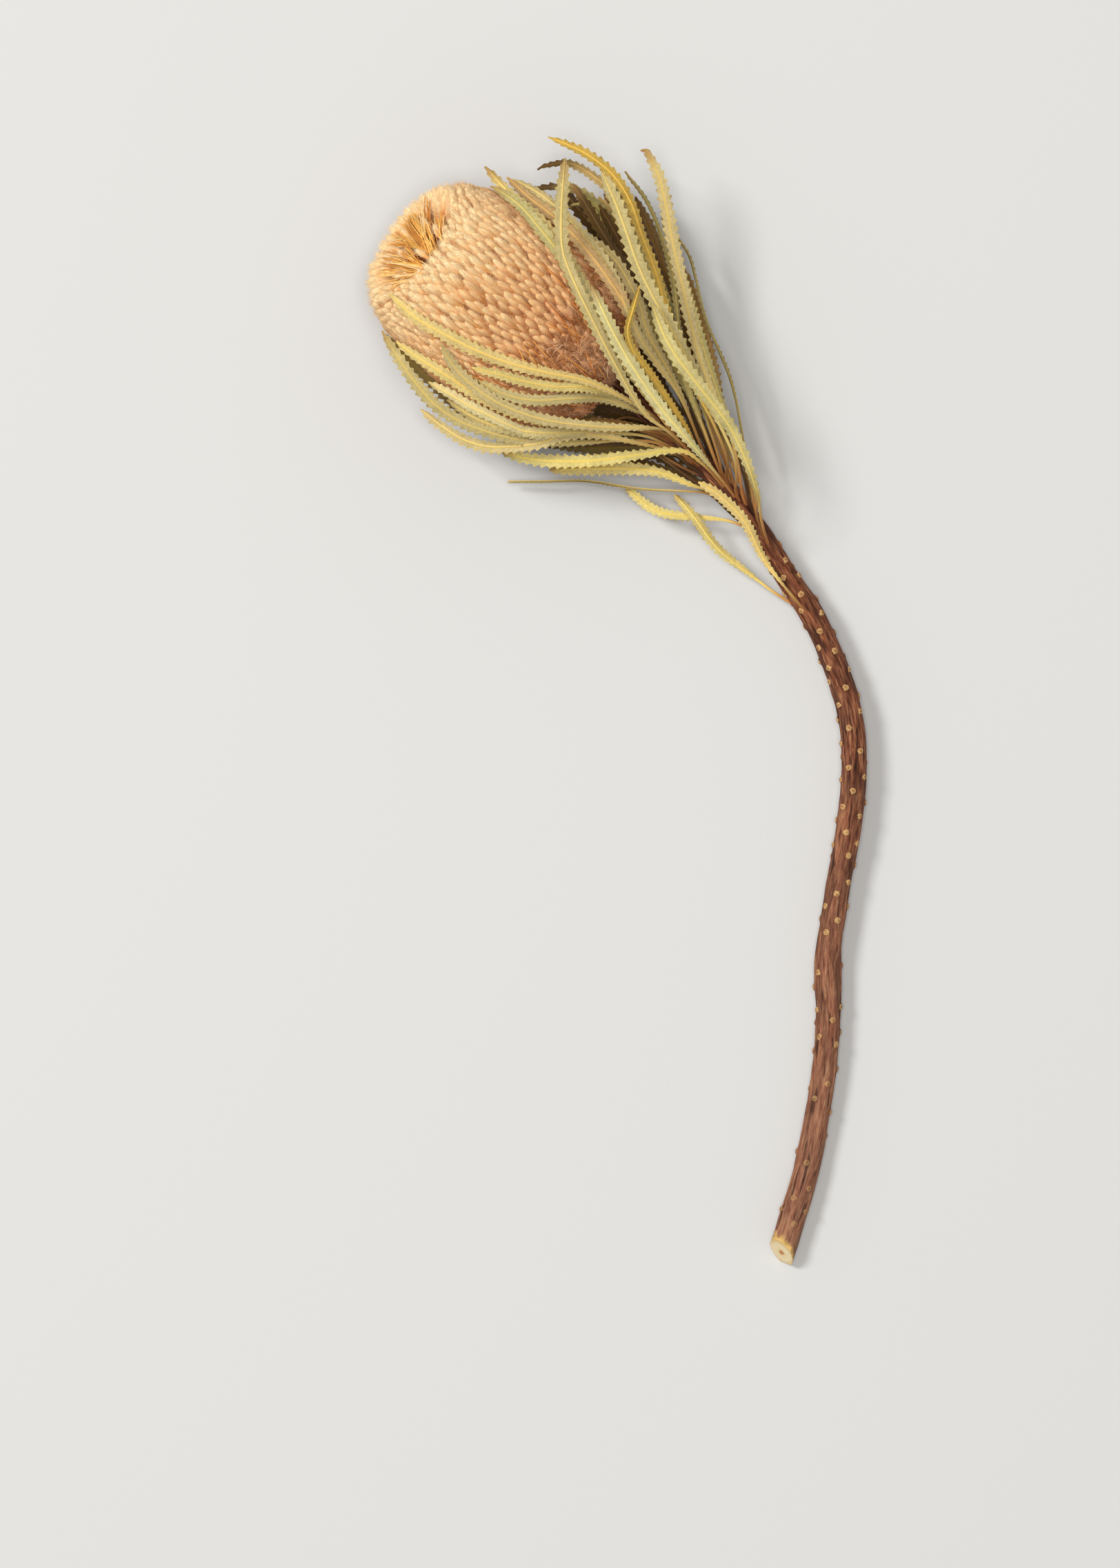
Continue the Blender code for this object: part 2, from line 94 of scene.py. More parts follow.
def doMath(tree, operation, *values):
    return addNode(tree, "ShaderNodeMath", {"operation": operation}, dict(enumerate(values)))


def doVector(tree, operation, *values):
    return addNode(tree, "ShaderNodeVectorMath", {"operation": operation}, dict(enumerate(values)))


def mapTo(tree, value, low, high, toLow=0.0, toHigh=1.0):
    return addNode(tree, "ShaderNodeMapRange", None,
                   {"Value": value, "From Min": low, "From Max": high, "To Min": toLow, "To Max": toHigh})


def blend(tree, factor, a, b, kind="MIX"):
    return addNode(tree, "ShaderNodeMix", {"data_type": "RGBA", "blend_type": kind},
                   {"Factor": factor, "A": a, "B": b})


def noise(tree, vector, scale, detail):
    return addNode(tree, "ShaderNodeTexNoise", None, {"Vector": vector, "Scale": scale, "Detail": detail})


def colours(tree, place, stops):
    return addNode(tree, "ShaderNodeValToRGB", {"stops": stops}, {"Fac": place})


# What a material reads by name: a number each, but the whole node where there are three parts
def reads(tree, *names):
    found = {name: addNode(tree, "ShaderNodeAttribute", {"attribute_name": name}) for name in names}
    threes = "tint", "fibre", "barkMap"
    return {name: node if name in threes else node.outputs["Fac"] for name, node in found.items()}


def inObject(tree):
    return addNode(tree, "ShaderNodeTexCoord").outputs["Object"]


def named(tree, name, kind="FLOAT"):
    return addNode(tree, "GeometryNodeInputNamedAttribute", {"data_type": kind}, {"Name": name})


def store(tree, geometry, name, value, kind="FLOAT"):
    return addNode(tree, "GeometryNodeStoreNamedAttribute", {"data_type": kind},
                   {"Geometry": geometry, "Name": name, "Value": value})


def newMaterial(name):
    made = bpy.data.materials.new(name)
    made.use_nodes = True
    return made, made.node_tree, made.node_tree.nodes["Principled BSDF"]


# An object in the scene that holds a mesh, a lamp or the camera
def addObject(name, data):
    made = bpy.data.objects.new(name, data)
    bpy.context.scene.collection.objects.link(made)
    return made


# Turns a mesh's faces outwards
def faceOut(mesh):
    work = bmesh.new()
    work.from_mesh(mesh)
    bmesh.ops.recalc_face_normals(work, faces=work.faces)
    work.to_mesh(mesh)
    work.free()


# A Geometry Nodes tree with named inputs, its input node and a function that ends it inside the solids' box
def newGrower(name, inputs):
    tree = bpy.data.node_groups.new(name, "GeometryNodeTree")
    tree.interface.new_socket("Geometry", in_out="INPUT", socket_type="NodeSocketGeometry")
    for label, kind in inputs.items():
        tree.interface.new_socket(label, in_out="INPUT", socket_type="NodeSocket" + kind)
    tree.interface.new_socket("Geometry", in_out="OUTPUT", socket_type="NodeSocketGeometry")
    given = addNode(tree, "NodeGroupInput").outputs

    def end(geometry):
        whole = addNode(tree, "GeometryNodeRealizeInstances", None, {"Geometry": geometry})
        place = addNode(tree, "GeometryNodeInputPosition")
        above = doVector(tree, "MAXIMUM", place, tuple(cadBox[0]))
        within = doVector(tree, "MINIMUM", above, tuple(cadBox[1]))
        kept = addNode(tree, "GeometryNodeSetPosition", None, {"Geometry": whole, "Position": within})
        done = addNode(tree, "GeometryNodeSetMaterial", None,
                       {"Geometry": kept, "Material": given["Material"]})
        addNode(tree, "NodeGroupOutput", None, {"Geometry": done})

    return tree, given, end


# Runs a tree on a start mesh and keeps the result as a plain mesh, smooth but for edges over sharp degrees
def grow(name, start, tree, values, sharp=40):
    seedObject = addObject(name + "Start", start)
    modifier = seedObject.modifiers.new("grow", "NODES")
    modifier.node_group = tree
    for item in tree.interface.items_tree:
        if item.in_out == "INPUT" and item.name in values:
            modifier[item.identifier] = values[item.name]
    seedObject.update_tag()
    bpy.context.view_layer.update()
    mesh = bpy.data.meshes.new_from_object(seedObject.evaluated_get(bpy.context.evaluated_depsgraph_get()))
    bpy.data.objects.remove(seedObject, do_unlink=True)
    faceOut(mesh)
    mesh.shade_smooth()
    mesh.set_sharp_from_angle(angle=math.radians(sharp))
    mesh.name = name
    made = addObject(name, mesh)
    return made


# Points in millimetres with one value or vector each for every named attribute
def startMesh(name, points, edges, attributes):
    mesh = bpy.data.meshes.new(name)
    mesh.from_pydata([Vector(p) * mm for p in points], edges, [])
    for label, values in attributes.items():
        wide = {3: ("FLOAT_VECTOR", "vector"), 4: ("FLOAT_COLOR", "color")}
        kind, field = wide.get(len(values[0]) if hasattr(values[0], "__len__") else 1, ("FLOAT", "value"))
        flat = [x for v in values for x in v] if kind != "FLOAT" else list(values)
        mesh.attributes.new(label, kind, "POINT").data.foreach_set(field, flat)
    return mesh


def wear(piece, node):
    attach(piece, "root")
    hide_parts(node)
    faces = sum(len(p.vertices) - 2 for p in piece.data.polygons)
    print(f"{piece.name}: {faces} triangles")


# Evenly spaced points on a Catmull-Rom curve through the given ones
def smoothCurve(points, count):
    points = [Vector(p) for p in points]
    ends = [points[0] * 2 - points[1], *points, points[-1] * 2 - points[-2]]
    fine = []
    for a, b, c, d in zip(ends, ends[1:], ends[2:], ends[3:]):
        for k in range(12):
            t = k / 12
            square = a * 2 - b * 5 + c * 4 - d
            cube = b * 3 - a - c * 3 + d
            fine.append((b * 2 + (c - a) * t + square * t**2 + cube * t**3) / 2)
    fine.append(points[-1])
    return placesAlong(fine, [k / (count - 1) for k in range(count)])


# Points at rising shares of a line's length
def placesAlong(line, shares):
    run = [0.0]
    for p, q in zip(line, line[1:]):
        run.append(run[-1] + (q - p).length)
    found, i = [], 1
    for share in shares:
        want = run[-1] * share
        while i < len(run) - 1 and run[i] < want:
            i += 1
        inside = (want - run[i - 1]) / max(run[i] - run[i - 1], 1e-9)
        found.append(line[i - 1].lerp(line[i], min(max(inside, 0), 1)))
    return found


def readTable(table, at):
    for (x0, y0), (x1, y1) in zip(table, table[1:]):
        if x0 <= at <= x1:
            return y0 + (y1 - y0) * (at - x0) / (x1 - x0)
    return 0.0


# Camera, light and floor

view = {
    "height": 3500.0,  # above the floor, straight over the middle of the frame
    "centre": (9.07, -173.6),
    "frameHeight": 606.4,
    "sensor": 36.0,
    "worldColour": "F4F4F6",
    "worldStrength": 0.34,
    "keyPlace": (-2800, 1400, 4200),
    "keySize": 1300.0,
    "keyPower": 150.0,
    "fillPlace": (9, -174, 4500),  # over the camera, so that its shadows don't show
    "fillSize": 1200.0,
    "fillPower": 76.0,
    "floorColour": "DBDAD6",
    "floorSize": 9000.0,
}


def makeView():
    camera = bpy.data.cameras.new("camera")
    camera.sensor_fit = "VERTICAL"
    camera.sensor_height = view["sensor"]
    camera.sensor_width = view["sensor"]
    camera.lens = view["sensor"] * view["height"] / view["frameHeight"]
    camera.clip_end = 20
    placed = addObject("camera", camera)
    placed.location = Vector((*view["centre"], view["height"])) * mm
    bpy.context.scene.camera = placed
    bpy.context.scene.view_settings.view_transform = "Standard"

    for name in ("key", "fill"):
        lamp = bpy.data.lights.new(name, "AREA")
        lamp.size = view[name + "Size"] * mm
        lamp.energy = view[name + "Power"]
        lit = addObject(name, lamp)
        lit.location = Vector(view[name + "Place"]) * mm
        aim = Vector((*view["centre"], 0)) * mm - lit.location
        lit.rotation_euler = aim.to_track_quat("-Z", "Y").to_euler()

    world = bpy.data.worlds.new("paleRoom")
    world.use_nodes = True
    world.node_tree.nodes["Background"].inputs["Color"].default_value = toLinear(view["worldColour"])
    world.node_tree.nodes["Background"].inputs["Strength"].default_value = view["worldStrength"]
    bpy.context.scene.world = world

    # painted board: matt, a touch warm
    board, tree, shader = newMaterial("paintedBoard")
    setInputs(tree, shader, {
        "Base Color": toLinear(view["floorColour"]), "Roughness": 0.9, "Specular IOR Level": 0.2,
    })
    half = view["floorSize"] / 2
    mesh = bpy.data.meshes.new("floor")
    corners = (-half, -half), (half, -half), (half, half), (-half, half)
    mesh.from_pydata([Vector((x, y, 0)) * mm for x, y in corners], [], [(0, 1, 2, 3)])
    mesh.materials.append(board)
    floor = addObject("floor", mesh)
    print("camera, lights and floor made")


# The cone's shape, as its solid has it

cone = {
    "base": Vector((24.1, -16.2, 25.3)),
    "heading": Vector((-0.828, 0.559, 0)),  # seen from above
    "tilt": 25,
    # (distance from the base, radius) of the floret tips, out to the rim and down into the hollow
    "outline": [
        (0, 9), (0.5, 13), (2, 19), (5, 26), (9, 31.5), (14, 35), (20, 37), (30, 38.4), (42, 38.2),
        (54, 37.2), (64, 36), (73, 34.6), (81, 33), (88, 30.8), (92, 28.5), (94, 25.5), (93.5, 22),
        (91, 18.5), (88, 14.5), (86, 9.5),
    ],
    "rimRow": 16,
    "lean": 2.6,
    "clearance": 1.2,
}
tilt = math.radians(cone["tilt"])
axis = (cone["heading"].normalized() * math.cos(tilt) + up * math.sin(tilt)).normalized()
side = axis.cross(up).normalized()
crest = side.cross(axis)
coneSide = cone["outline"][:cone["rimRow"]]
crownTop = coneSide[-1][0]


# A point by its distance from the base, its radius and its turn from the crest, and the way out there
def onCone(along, radius, turn):
    out = crest * math.cos(turn) + side * math.sin(turn)
    return cone["base"] + axis * along + out * radius, out


# The way out from the cone's axis, and how far the point is inside the cone's clearance
def outward(point):
    along = (point - cone["base"]).dot(axis)
    off = point - cone["base"] - axis * along
    wanted = 0.0
    if -cone["clearance"] <= along <= crownTop + cone["lean"] + cone["clearance"]:
        places = [min(max(place, 0), crownTop) for place in (along, along - cone["lean"])]
        wanted = max(readTable(coneSide, place) for place in places) + cone["clearance"]
    return off.normalized(), wanted - off.length


# The stem's line

stem = {
    "points": [  # (x, y, z, radius) from under the cone to the cut
        (44, -32, 18.5, 4.0), (60, -47, 14.5, 4.1), (74, -61, 12.5, 4.2), (86, -77, 11.5, 4.4),
        (96, -93, 11, 4.6), (106, -108, 11, 4.8), (114, -125, 11, 4.9), (120, -143, 11, 5.0),
        (122.4, -162, 10.5, 5.0), (121.5, -182, 10, 5.0), (118.4, -202, 9.3, 4.9), (115, -221, 8.6, 4.9),
        (112.6, -238, 8, 5.1), (112.4, -249, 7.6, 5.3), (112.6, -261, 7.2, 5.0), (111.4, -281, 6.6, 4.9),
        (108.3, -301, 6.1, 5.0), (104.6, -321, 5.7, 5.1), (98.8, -341, 5.5, 5.3), (93.5, -358, 5.45, 5.4),
    ],
    "topRadius": 4.2,
    "gap": 0.3,
    "step": 9.0,  # the solid's rings
    "fineStep": 0.7,
    "sides": 44,
    "cutPoint": Vector((94.5, -354.5, 5.2)),
    "cutFacing": Vector((-0.62, -0.62, 0.48)),
    "cutMiddle": (94, 5.3),  # x and z of the stem's middle there
    "scarFirst": 96.0,
    "scarSpacing": 1.9,
    "scarTurn": math.radians(137.5),
    "scarCount": 154,
    "scarRadius": 0.0017,  # this and the next three in metres, as their tree takes them
    "scarFlat": 0.0006,
    "scarHeight": 0.0007,
    "fibreHeight": 0.0014,
    "fibreScale": 420.0,  # of the noise that raises them, to a metre
    "scarsLost": 0.1,  # share of the scars worn away, and how it grows further down
    "lostFrom": 200,
    "lostEach": 0.0022,
    "tearParts": 64,  # the bark by the cut is torn back by these lengths round the stem
    "tearReach": (0.6, 2.0),
    "tearMost": 1.4,
    "seed": 3,
}


def stemLine(step):
    start = cone["base"] - axis * stem["gap"]
    below = cone["base"] - axis * 9
    given = [(*start, stem["topRadius"]), (*below, stem["topRadius"]), *stem["points"]]
    length = sum((Vector(q[:3]) - Vector(p[:3])).length for p, q in zip(given, given[1:]))
    return smoothCurve(given, round(length / step) + 1)


coarseStem = stemLine(stem["step"])
stemRun = [0.0]
for upper, lower in zip(coarseStem, coarseStem[1:]):
    stemRun.append(stemRun[-1] + (lower.xyz - upper.xyz).length)


# Centre, way towards the cone, and radius at a distance down the stem
def stemAt(distance):
    i = next((i for i in range(1, len(stemRun)) if stemRun[i] >= distance), len(stemRun) - 1)
    here = coarseStem[i - 1].lerp(coarseStem[i], (distance - stemRun[i - 1]) / (stemRun[i] - stemRun[i - 1]))
    return here.xyz, (coarseStem[i - 1].xyz - coarseStem[i].xyz).normalized(), here.w


# One tree sweeps a round section along paths, for the styles and the hairs at the base
def buildSweep():
    tree, given, end = newGrower("sweepAlongPaths", {"Sides": "Int", "Material": "Material"})
    curve = addNode(tree, "GeometryNodeMeshToCurve", None, {"Mesh": given["Geometry"]})
    width = named(tree, "reach")
    ring = addNode(tree, "GeometryNodeCurvePrimitiveCircle", None,
                   {"Resolution": given["Sides"], "Radius": 1.0})
    end(addNode(tree, "GeometryNodeCurveToMesh", None,
                {"Curve": curve, "Profile Curve": ring, "Scale": width, "Fill Caps": True}))
    return tree


# Paths as (points, radii, tint) joined in one start mesh for the sweep
def pathMesh(name, paths):
    points, edges, reach, tint, share = [], [], [], [], []
    for line, radii, colour in paths:
        first = len(points)
        points += line
        edges += [(first + k, first + k + 1) for k in range(len(line) - 1)]
        reach += [r * mm for r in radii]
        tint += [colour] * len(line)
        share += [k / (len(line) - 1) for k in range(len(line))]
    return startMesh(name, points, edges, {"reach": reach, "tint": tint, "share": share})


# The leaves

# dark and shade are painted shade for leaves deep in the bunch and under the cone; dark also ends two upper
# leaves at their tips
tints = {
    "khaki": "CBB97C", "pale": "D8C78E", "yellow": "DDB856", "straw": "E4CC80", "olive": "A99A5E",
    "dark": "5E4318", "shade": "77622F", "brown": "A37C45", "tan": "C6A56C",
}
leaves = {
    "ribHeight": 0.5,
    "thickness": 0.22,
    "stalkWidth": 1.5,
    "fineStalk": 1.15,
    "stalkHug": 14.0,
    "stalkStandOff": 2.0,
    "stalkShare": 0.26,
    "stalkSteps": 3,
    "tipShare": 0.985,
    "coarseTeeth": 10,  # as the solid has them
    "widen": {"upperLeaves": 1.0, "lowerLeaves": 0.87, "innerLeaves": 0.95, "underLeaves": 0.92},
    "valleyShare": 0.62,
    "outline": [
        (0, 0.22), (0.12, 0.4), (0.25, 0.62), (0.45, 0.9), (0.75, 1), (0.9, 0.84), (0.96, 0.62), (1, 0.2),
    ],
    "floorClearance": 0.4,
    "solidThickness": 1.3,
    "pitchShare": 0.47,  # a tooth's length for a blade's width
    "toothAt": 0.74,
    "tipFrom": 0.86,  # share of the length where the tip's own tint starts, and how far it takes
    "tipOver": 0.08,
    "firstTooth": (0.16, 0.34),  # small teeth run down to between these shares of the leaf's length
    "rootShare": 0.2,  # of the blade's half width, where they start
    "seed": 11,
    # (root's distance down the stem, width, roll at root and tip, tint, points from root to tip)
    "upper": [
        (104, 7.4, 10, 0, "khaki", [(91, -78, 32), (83, -58, 44), (74, -38, 53), (60, -20, 61),
         (50, -6, 64), (44, 8.5, 63)]),
        (84, 8.0, 0, 0, "khaki", [(76, -50, 42), (62, -20, 52), (51, 0, 57), (40, 20.5, 59), (32, 43, 56),
         (25, 60, 50)]),
        (78, 6.6, 0, 35, "yellow", [(72, -45, 36), (55, -10, 45), (46, 20, 49), (40, 36, 50),
         (33, 54, 50), (20, 66, 49), (4.5, 73.5, 46)]),
        (86, 6.6, 10, -20, "khaki", [(76, -45, 33), (63, -12, 35), (58, 8, 37), (53, 30, 39),
         (49, 50, 42), (44.5, 66, 43), (40, 68.5, 41)]),
        (80, 5.2, 45, 55, "olive", [(70, -40, 27), (56, -5, 31), (52, 22, 34), (44, 46, 36),
         (34, 61, 34)]),
        (98, 5.2, 60, 80, "olive", [(88, -72, 25), (80, -45, 24), (75, -20, 24), (65, 5, 25),
         (59, 28, 26), (52, 39, 27)]),
        (90, 6.6, -20, -30, "brown", [(80, -52, 20), (72, -33, 19), (67, -10, 18), (61, 12, 17),
         (55, 27, 16)]),
        (62, 7.4, 10, 0, "khaki", [(52, -40, 42), (40, -31, 56), (25, -5, 72), (17, 11, 77),
         (10.5, 26, 77), (9.5, 42, 73), (11, 64, 62)]),
        (56, 7.4, 0, -10, "straw", [(48, -34, 42), (30, -8, 64), (12, 18, 70), (0, 36, 69), (-7, 44, 68),
         (-19.5, 61, 60)]),
        (82, 7.0, 0, 0, "pale", [(77, -61, 36), (61, -46, 50), (47, -30, 60), (34, -11, 69), (25, 6, 75),
         (21, 15, 76)]),
        (50, 6.6, -10, -15, "khaki", [(42, -26, 46), (24, -2, 66), (10, 18, 70), (-4, 33, 70),
         (-12, 42, 68), (-19, 51, 65)]),
        (54, 7.0, 0, -10, "tan", [(46, -26, 38), (24, 12, 58), (7, 37.5, 60), (-4, 50, 57),
         (-11, 57.5, 53)]),
        (66, 7.0, 0, -10, "khaki", [(54, -24, 40), (33, 4, 58), (19, 31, 57), (7, 46.5, 54), (-3, 54, 50),
         (-9, 57, 47)]),
        (70, 7.0, 0, 35, "olive", [(56, -20, 33), (38, 14, 43), (30, 29, 42), (23, 45, 41), (17, 50, 40),
         (13, 47, 35)]),
        (64, 6.6, 0, 0, "khaki", [(54, -22, 36), (36, 9, 50), (29, 22, 50), (22, 31, 49), (17, 37, 46)]),
        (76, 5.6, 10, 25, "tan/dark", [(62, -22, 27), (46, 22, 29), (30, 52, 30), (18, 61, 33),
         (8, 65.5, 34), (0.5, 62, 29)]),
        (68, 7.0, 10, 20, "khaki/dark", [(55, -10, 20), (36, 30, 24), (22, 50, 29), (8, 55, 33),
         (-4, 54, 32)]),
        (66, 5.0, 0, 40, "yellow", [(57, -37, 42), (45, -20, 57), (35, -6, 70), (36, 4, 74),
         (39, 15, 73)]),
    ],
    "lower": [
        (44, 7.4, 0, 10, "straw", [(46, -34, 38), (38, -29, 52), (20, -21, 68), (0, -16, 74),
         (-20, -9.5, 79), (-40, 2, 82), (-54.5, 15.5, 79)]),
        (38, 6.0, 0, 10, "straw", [(38, -29, 44), (20, -22, 62), (5, -20, 67), (-5, -18, 70),
         (-15, -15, 72), (-24, -14, 73)]),
        (48, 7.0, 0, 20, "straw", [(40, -38, 36), (18, -36, 52), (0, -32, 58), (-20, -24, 64),
         (-38, -11.5, 68), (-51, -2, 66)]),
        (52, 7.4, 0, 0, "khaki", [(48, -38, 46), (38, -38, 54), (20, -37.5, 60), (0, -34.5, 64),
         (-18, -27, 69), (-30, -16, 73), (-35, -4, 76)]),
        (46, 6.6, 10, 20, "pale", [(30, -36, 32), (0, -33, 48), (-15, -28, 54), (-33, -22, 56),
         (-41, -20.5, 54)]),
        (42, 6.6, 0, 10, "khaki", [(38, -31, 46), (28, -27.5, 55), (15, -25, 62), (-5, -25, 66),
         (-13, -23.5, 68), (-22, -20, 70)]),
        (58, 7.6, 15, 10, "khaki", [(42, -42, 28), (0, -43, 44), (-30, -35, 53), (-45, -22, 59),
         (-54, -8, 63), (-57.5, 0, 63)]),
        (62, 7.4, 10, 0, "khaki", [(52, -46, 30), (18, -40, 46), (-2, -44, 45), (-22, -44, 40),
         (-37, -36, 35), (-44, -30, 31)]),
        (56, 6.6, 10, 10, "khaki", [(40, -40, 33), (8, -39, 51), (-12, -38, 51), (-25, -33, 48),
         (-34, -27, 46)]),
        (74, 7.4, 0, 0, "straw", [(66, -53, 26), (56, -46, 34), (40, -47.5, 37), (20, -50, 37),
         (0, -49.5, 35), (-14, -46, 31)]),
        (80, 7.4, 10, 0, "straw", [(72, -67, 19), (60, -59, 25), (45, -53.5, 28), (25, -52.5, 28),
         (5, -53, 24)]),
        (78, 4.6, 60, 80, "khaki", [(60, -61, 15), (40, -60, 15), (20, -57, 13), (3, -57, 11),
         (-11, -57, 8)]),
        (92, 5.6, 0, 0, "straw", [(80, -83, 12), (65, -76, 14), (48, -69, 14), (34, -59, 12)]),
        (126, 6.0, 0, 30, "straw", [(84, -94, 11), (70, -83, 15), (60, -70, 17), (53, -62, 17)]),
        (130, 6.0, 0, 10, "straw", [(88, -88, 20), (80, -73, 28), (70, -63, 34), (62, -58, 36)]),
    ],
    # dark leaves deep in the bunch, between the others: their dark and shade tints are painted shade, and
    # the low dark ones lie where only shade would show
    "inner": [
        (74, 6.6, 10, 10, "olive", [(70, -48, 24), (58, -12, 28), (46, 20, 30), (34, 48, 28),
         (26, 58, 26)]),
        (88, 6.0, -10, -10, "dark", [(78, -50, 22), (64, -18, 24), (54, 10, 26), (44, 38, 26),
         (38, 52, 24)]),
        (72, 6.6, 0, 20, "khaki", [(66, -42, 26), (52, -6, 36), (42, 24, 38), (30, 50, 36)]),
        (94, 6.0, 15, 30, "khaki", [(84, -62, 24), (72, -30, 26), (62, 0, 28), (54, 26, 28),
         (48, 46, 26)]),
        (70, 6.4, -15, 0, "tan", [(64, -36, 24), (50, 0, 26), (38, 30, 26), (24, 52, 24)]),
        (60, 6.4, 0, 10, "dark", [(56, -28, 26), (42, 6, 34), (30, 32, 36), (16, 52, 34)]),
        (84, 6.0, 10, -10, "olive", [(76, -52, 18), (64, -20, 14), (56, 8, 12), (46, 36, 12),
         (38, 52, 12)]),
        (66, 6.0, 20, 10, "dark", [(60, -30, 18), (48, 0, 14), (38, 30, 12), (26, 54, 10)]),
        (76, 6.0, 0, 0, "khaki", [(74, -46, 22), (66, -16, 20), (60, 6, 20), (56, 24, 20)]),
        (68, 6.0, 15, 20, "olive", [(60, -24, 26), (40, 20, 34), (26, 44, 36), (10, 58, 32)]),
        (58, 6.0, 0, 0, "dark", [(52, -40, 18), (26, -36, 18), (2, -32, 20), (-16, -24, 24)]),
        (64, 6.4, 10, 0, "dark", [(50, -44, 22), (26, -42, 26), (4, -42, 28), (-18, -36, 26)]),
        (54, 6.0, 0, 10, "brown", [(48, -38, 26), (24, -34, 34), (4, -32, 38), (-14, -28, 40),
         (-30, -20, 42)]),
        (70, 6.4, 0, 0, "shade", [(64, -50, 18), (44, -44, 16), (22, -44, 14), (2, -42, 14)]),
        (60, 8.0, 0, 0, "dark", [(54, -38, 10), (36, -29, 7), (18, -26, 5), (-4, -24, 4)]),
        (66, 7.0, 0, 0, "dark", [(58, -36, 10), (46, -14, 6), (40, 10, 4), (34, 28, 3)]),
        (76, 8.0, 0, 0, "dark", [(58, -42, 9), (34, -36, 6), (10, -32, 5), (-16, -26, 5)]),
        (84, 7.0, 0, 0, "dark", [(66, -58, 8), (42, -50, 5), (20, -42, 4), (0, -40, 4)]),
        (62, 7.4, 0, 0, "dark", [(56, -24, 28), (40, 10, 40), (28, 32, 44), (20, 46, 44), (14, 56, 40)]),
        (72, 7.0, -10, 0, "dark", [(62, -30, 24), (46, 6, 34), (34, 30, 38), (24, 48, 38)]),
        (64, 9.0, 0, 0, "dark", [(56, -24, 18), (40, 10, 28), (26, 34, 32), (16, 47, 30), (8, 57, 26)]),
        (70, 9.0, 0, 0, "dark", [(60, -24, 12), (46, 10, 18), (34, 32, 20), (22, 50, 18)]),
        (98, 9.0, 0, 0, "dark", [(74, -64, 7), (56, -47, 6), (40, -35, 6), (24, -28, 5), (6, -25, 4)]),
        (94, 9.0, 0, 0, "dark", [(74, -58, 7), (56, -36, 6), (38, -19, 5), (26, -4, 4), (18, 10, 4)]),
        (92, 9.0, 0, 0, "dark", [(72, -66, 6), (58, -54, 5), (46, -46, 4), (28, -40, 4), (8, -36, 4)]),
    ],
    "hidden": 14,
    "hiddenRoots": (12, 72),
    "hiddenReach": (44, 80),
    "hiddenSpread": (25, 38),
    "hiddenWidth": 6.6,
    "hiddenSeed": 7,
}


# Leaves under and beside the cone, placed as the solid has them, tinted dark, shade and brown as painted
# shade
def hiddenLeaves():
    draw = random.Random(leaves["hiddenSeed"])
    heading = cone["heading"].normalized()
    left = up.cross(heading)
    base = Vector((cone["base"].x, cone["base"].y, 0))
    first, last = leaves["hiddenRoots"]
    found = []
    for k in range(leaves["hidden"]):
        way = 1 if k % 2 else -1
        rank = (k // 2) / (leaves["hidden"] // 2 - 1)
        root = first + (last - first) * k / (leaves["hidden"] - 1)
        reach = draw.uniform(*leaves["hiddenReach"])
        spread = way * draw.uniform(*leaves["hiddenSpread"])
        low = 3 + 26 * rank + draw.uniform(-1, 1)
        points = [
            base + heading * -12 + left * way * 14 + up * (12 + 6 * rank),
            base + heading * reach * 0.35 + left * spread * 0.9 + up * low,
            base + heading * reach * 0.7 + left * spread * 1.05 + up * (low + 2),
            base + heading * reach + left * spread * draw.uniform(0.85, 1.15)
            + up * (low + draw.uniform(-2, 8)),
        ]
        rolls = draw.uniform(-25, 25), draw.uniform(-40, 40)
        # painted shade: these tints stand in for the shade under and beside the cone
        found.append((root, leaves["hiddenWidth"], *rolls, ("dark", "shade", "brown")[k % 3], points))
    return found


# Midrib points moved off the cone and the floor, as the solid's are
def keepClear(centres, halves):
    for _ in range(5):
        shifts = []
        for centre, half in zip(centres, halves):
            way, _ = outward(centre)
            inside = max(outward(p)[1] for p in (centre, centre + half, centre - half))
            shifts.append(way * max(inside, 0))
        for i, centre in enumerate(centres):
            nearby = (shifts[max(i - 1, 0)] + shifts[min(i + 1, len(shifts) - 1)]) / 2
            centres[i] = centre + (shifts[i] if shifts[i].length > nearby.length * 0.5 else nearby * 0.5)
    lifted = []
    for centre, half in zip(centres, halves):
        low = centre.z - abs(half.z) - leaves["solidThickness"] / 2 - leaves["floorClearance"]
        lifted.append(centre + up * max(-low, 0))
    return lifted


def leafLine(root, points, count):
    centre, along, radius = stemAt(root)
    ahead, aheadWay, _ = stemAt(max(root - leaves["stalkHug"], 0))
    off = Vector(points[0]) - ahead
    off = (off - aheadWay * off.dot(aheadWay)).normalized()
    leave = ahead + off * (radius + leaves["stalkStandOff"])
    passed = (leave - centre).dot(along) + leaves["stalkWidth"] * 2
    later = [Vector(p) for p in points if (Vector(p) - centre).dot(along) > passed]
    return smoothCurve([centre, leave, *later], count)


# The blade's normal at each point: up and away from the cone, rolled about the midrib
def leafFacings(line, rollRoot, rollTip):
    found = []
    for i, here in enumerate(line):
        tangent = (line[min(i + 1, len(line) - 1)] - line[max(i - 1, 0)]).normalized()
        way, inside = outward(here)
        facing = up + way * max(0.0, 1 - max(-inside, 0) / 30)
        facing = (facing - tangent * facing.dot(tangent)).normalized()
        roll = math.radians(rollRoot + (rollTip - rollRoot) * i / (len(line) - 1))
        found.append((tangent, facing * math.cos(roll) + tangent.cross(facing) * math.sin(roll)))
    return found


def halfWidth(share, width):
    return width / 2 * readTable(leaves["outline"], min(max(share, 0), 1))


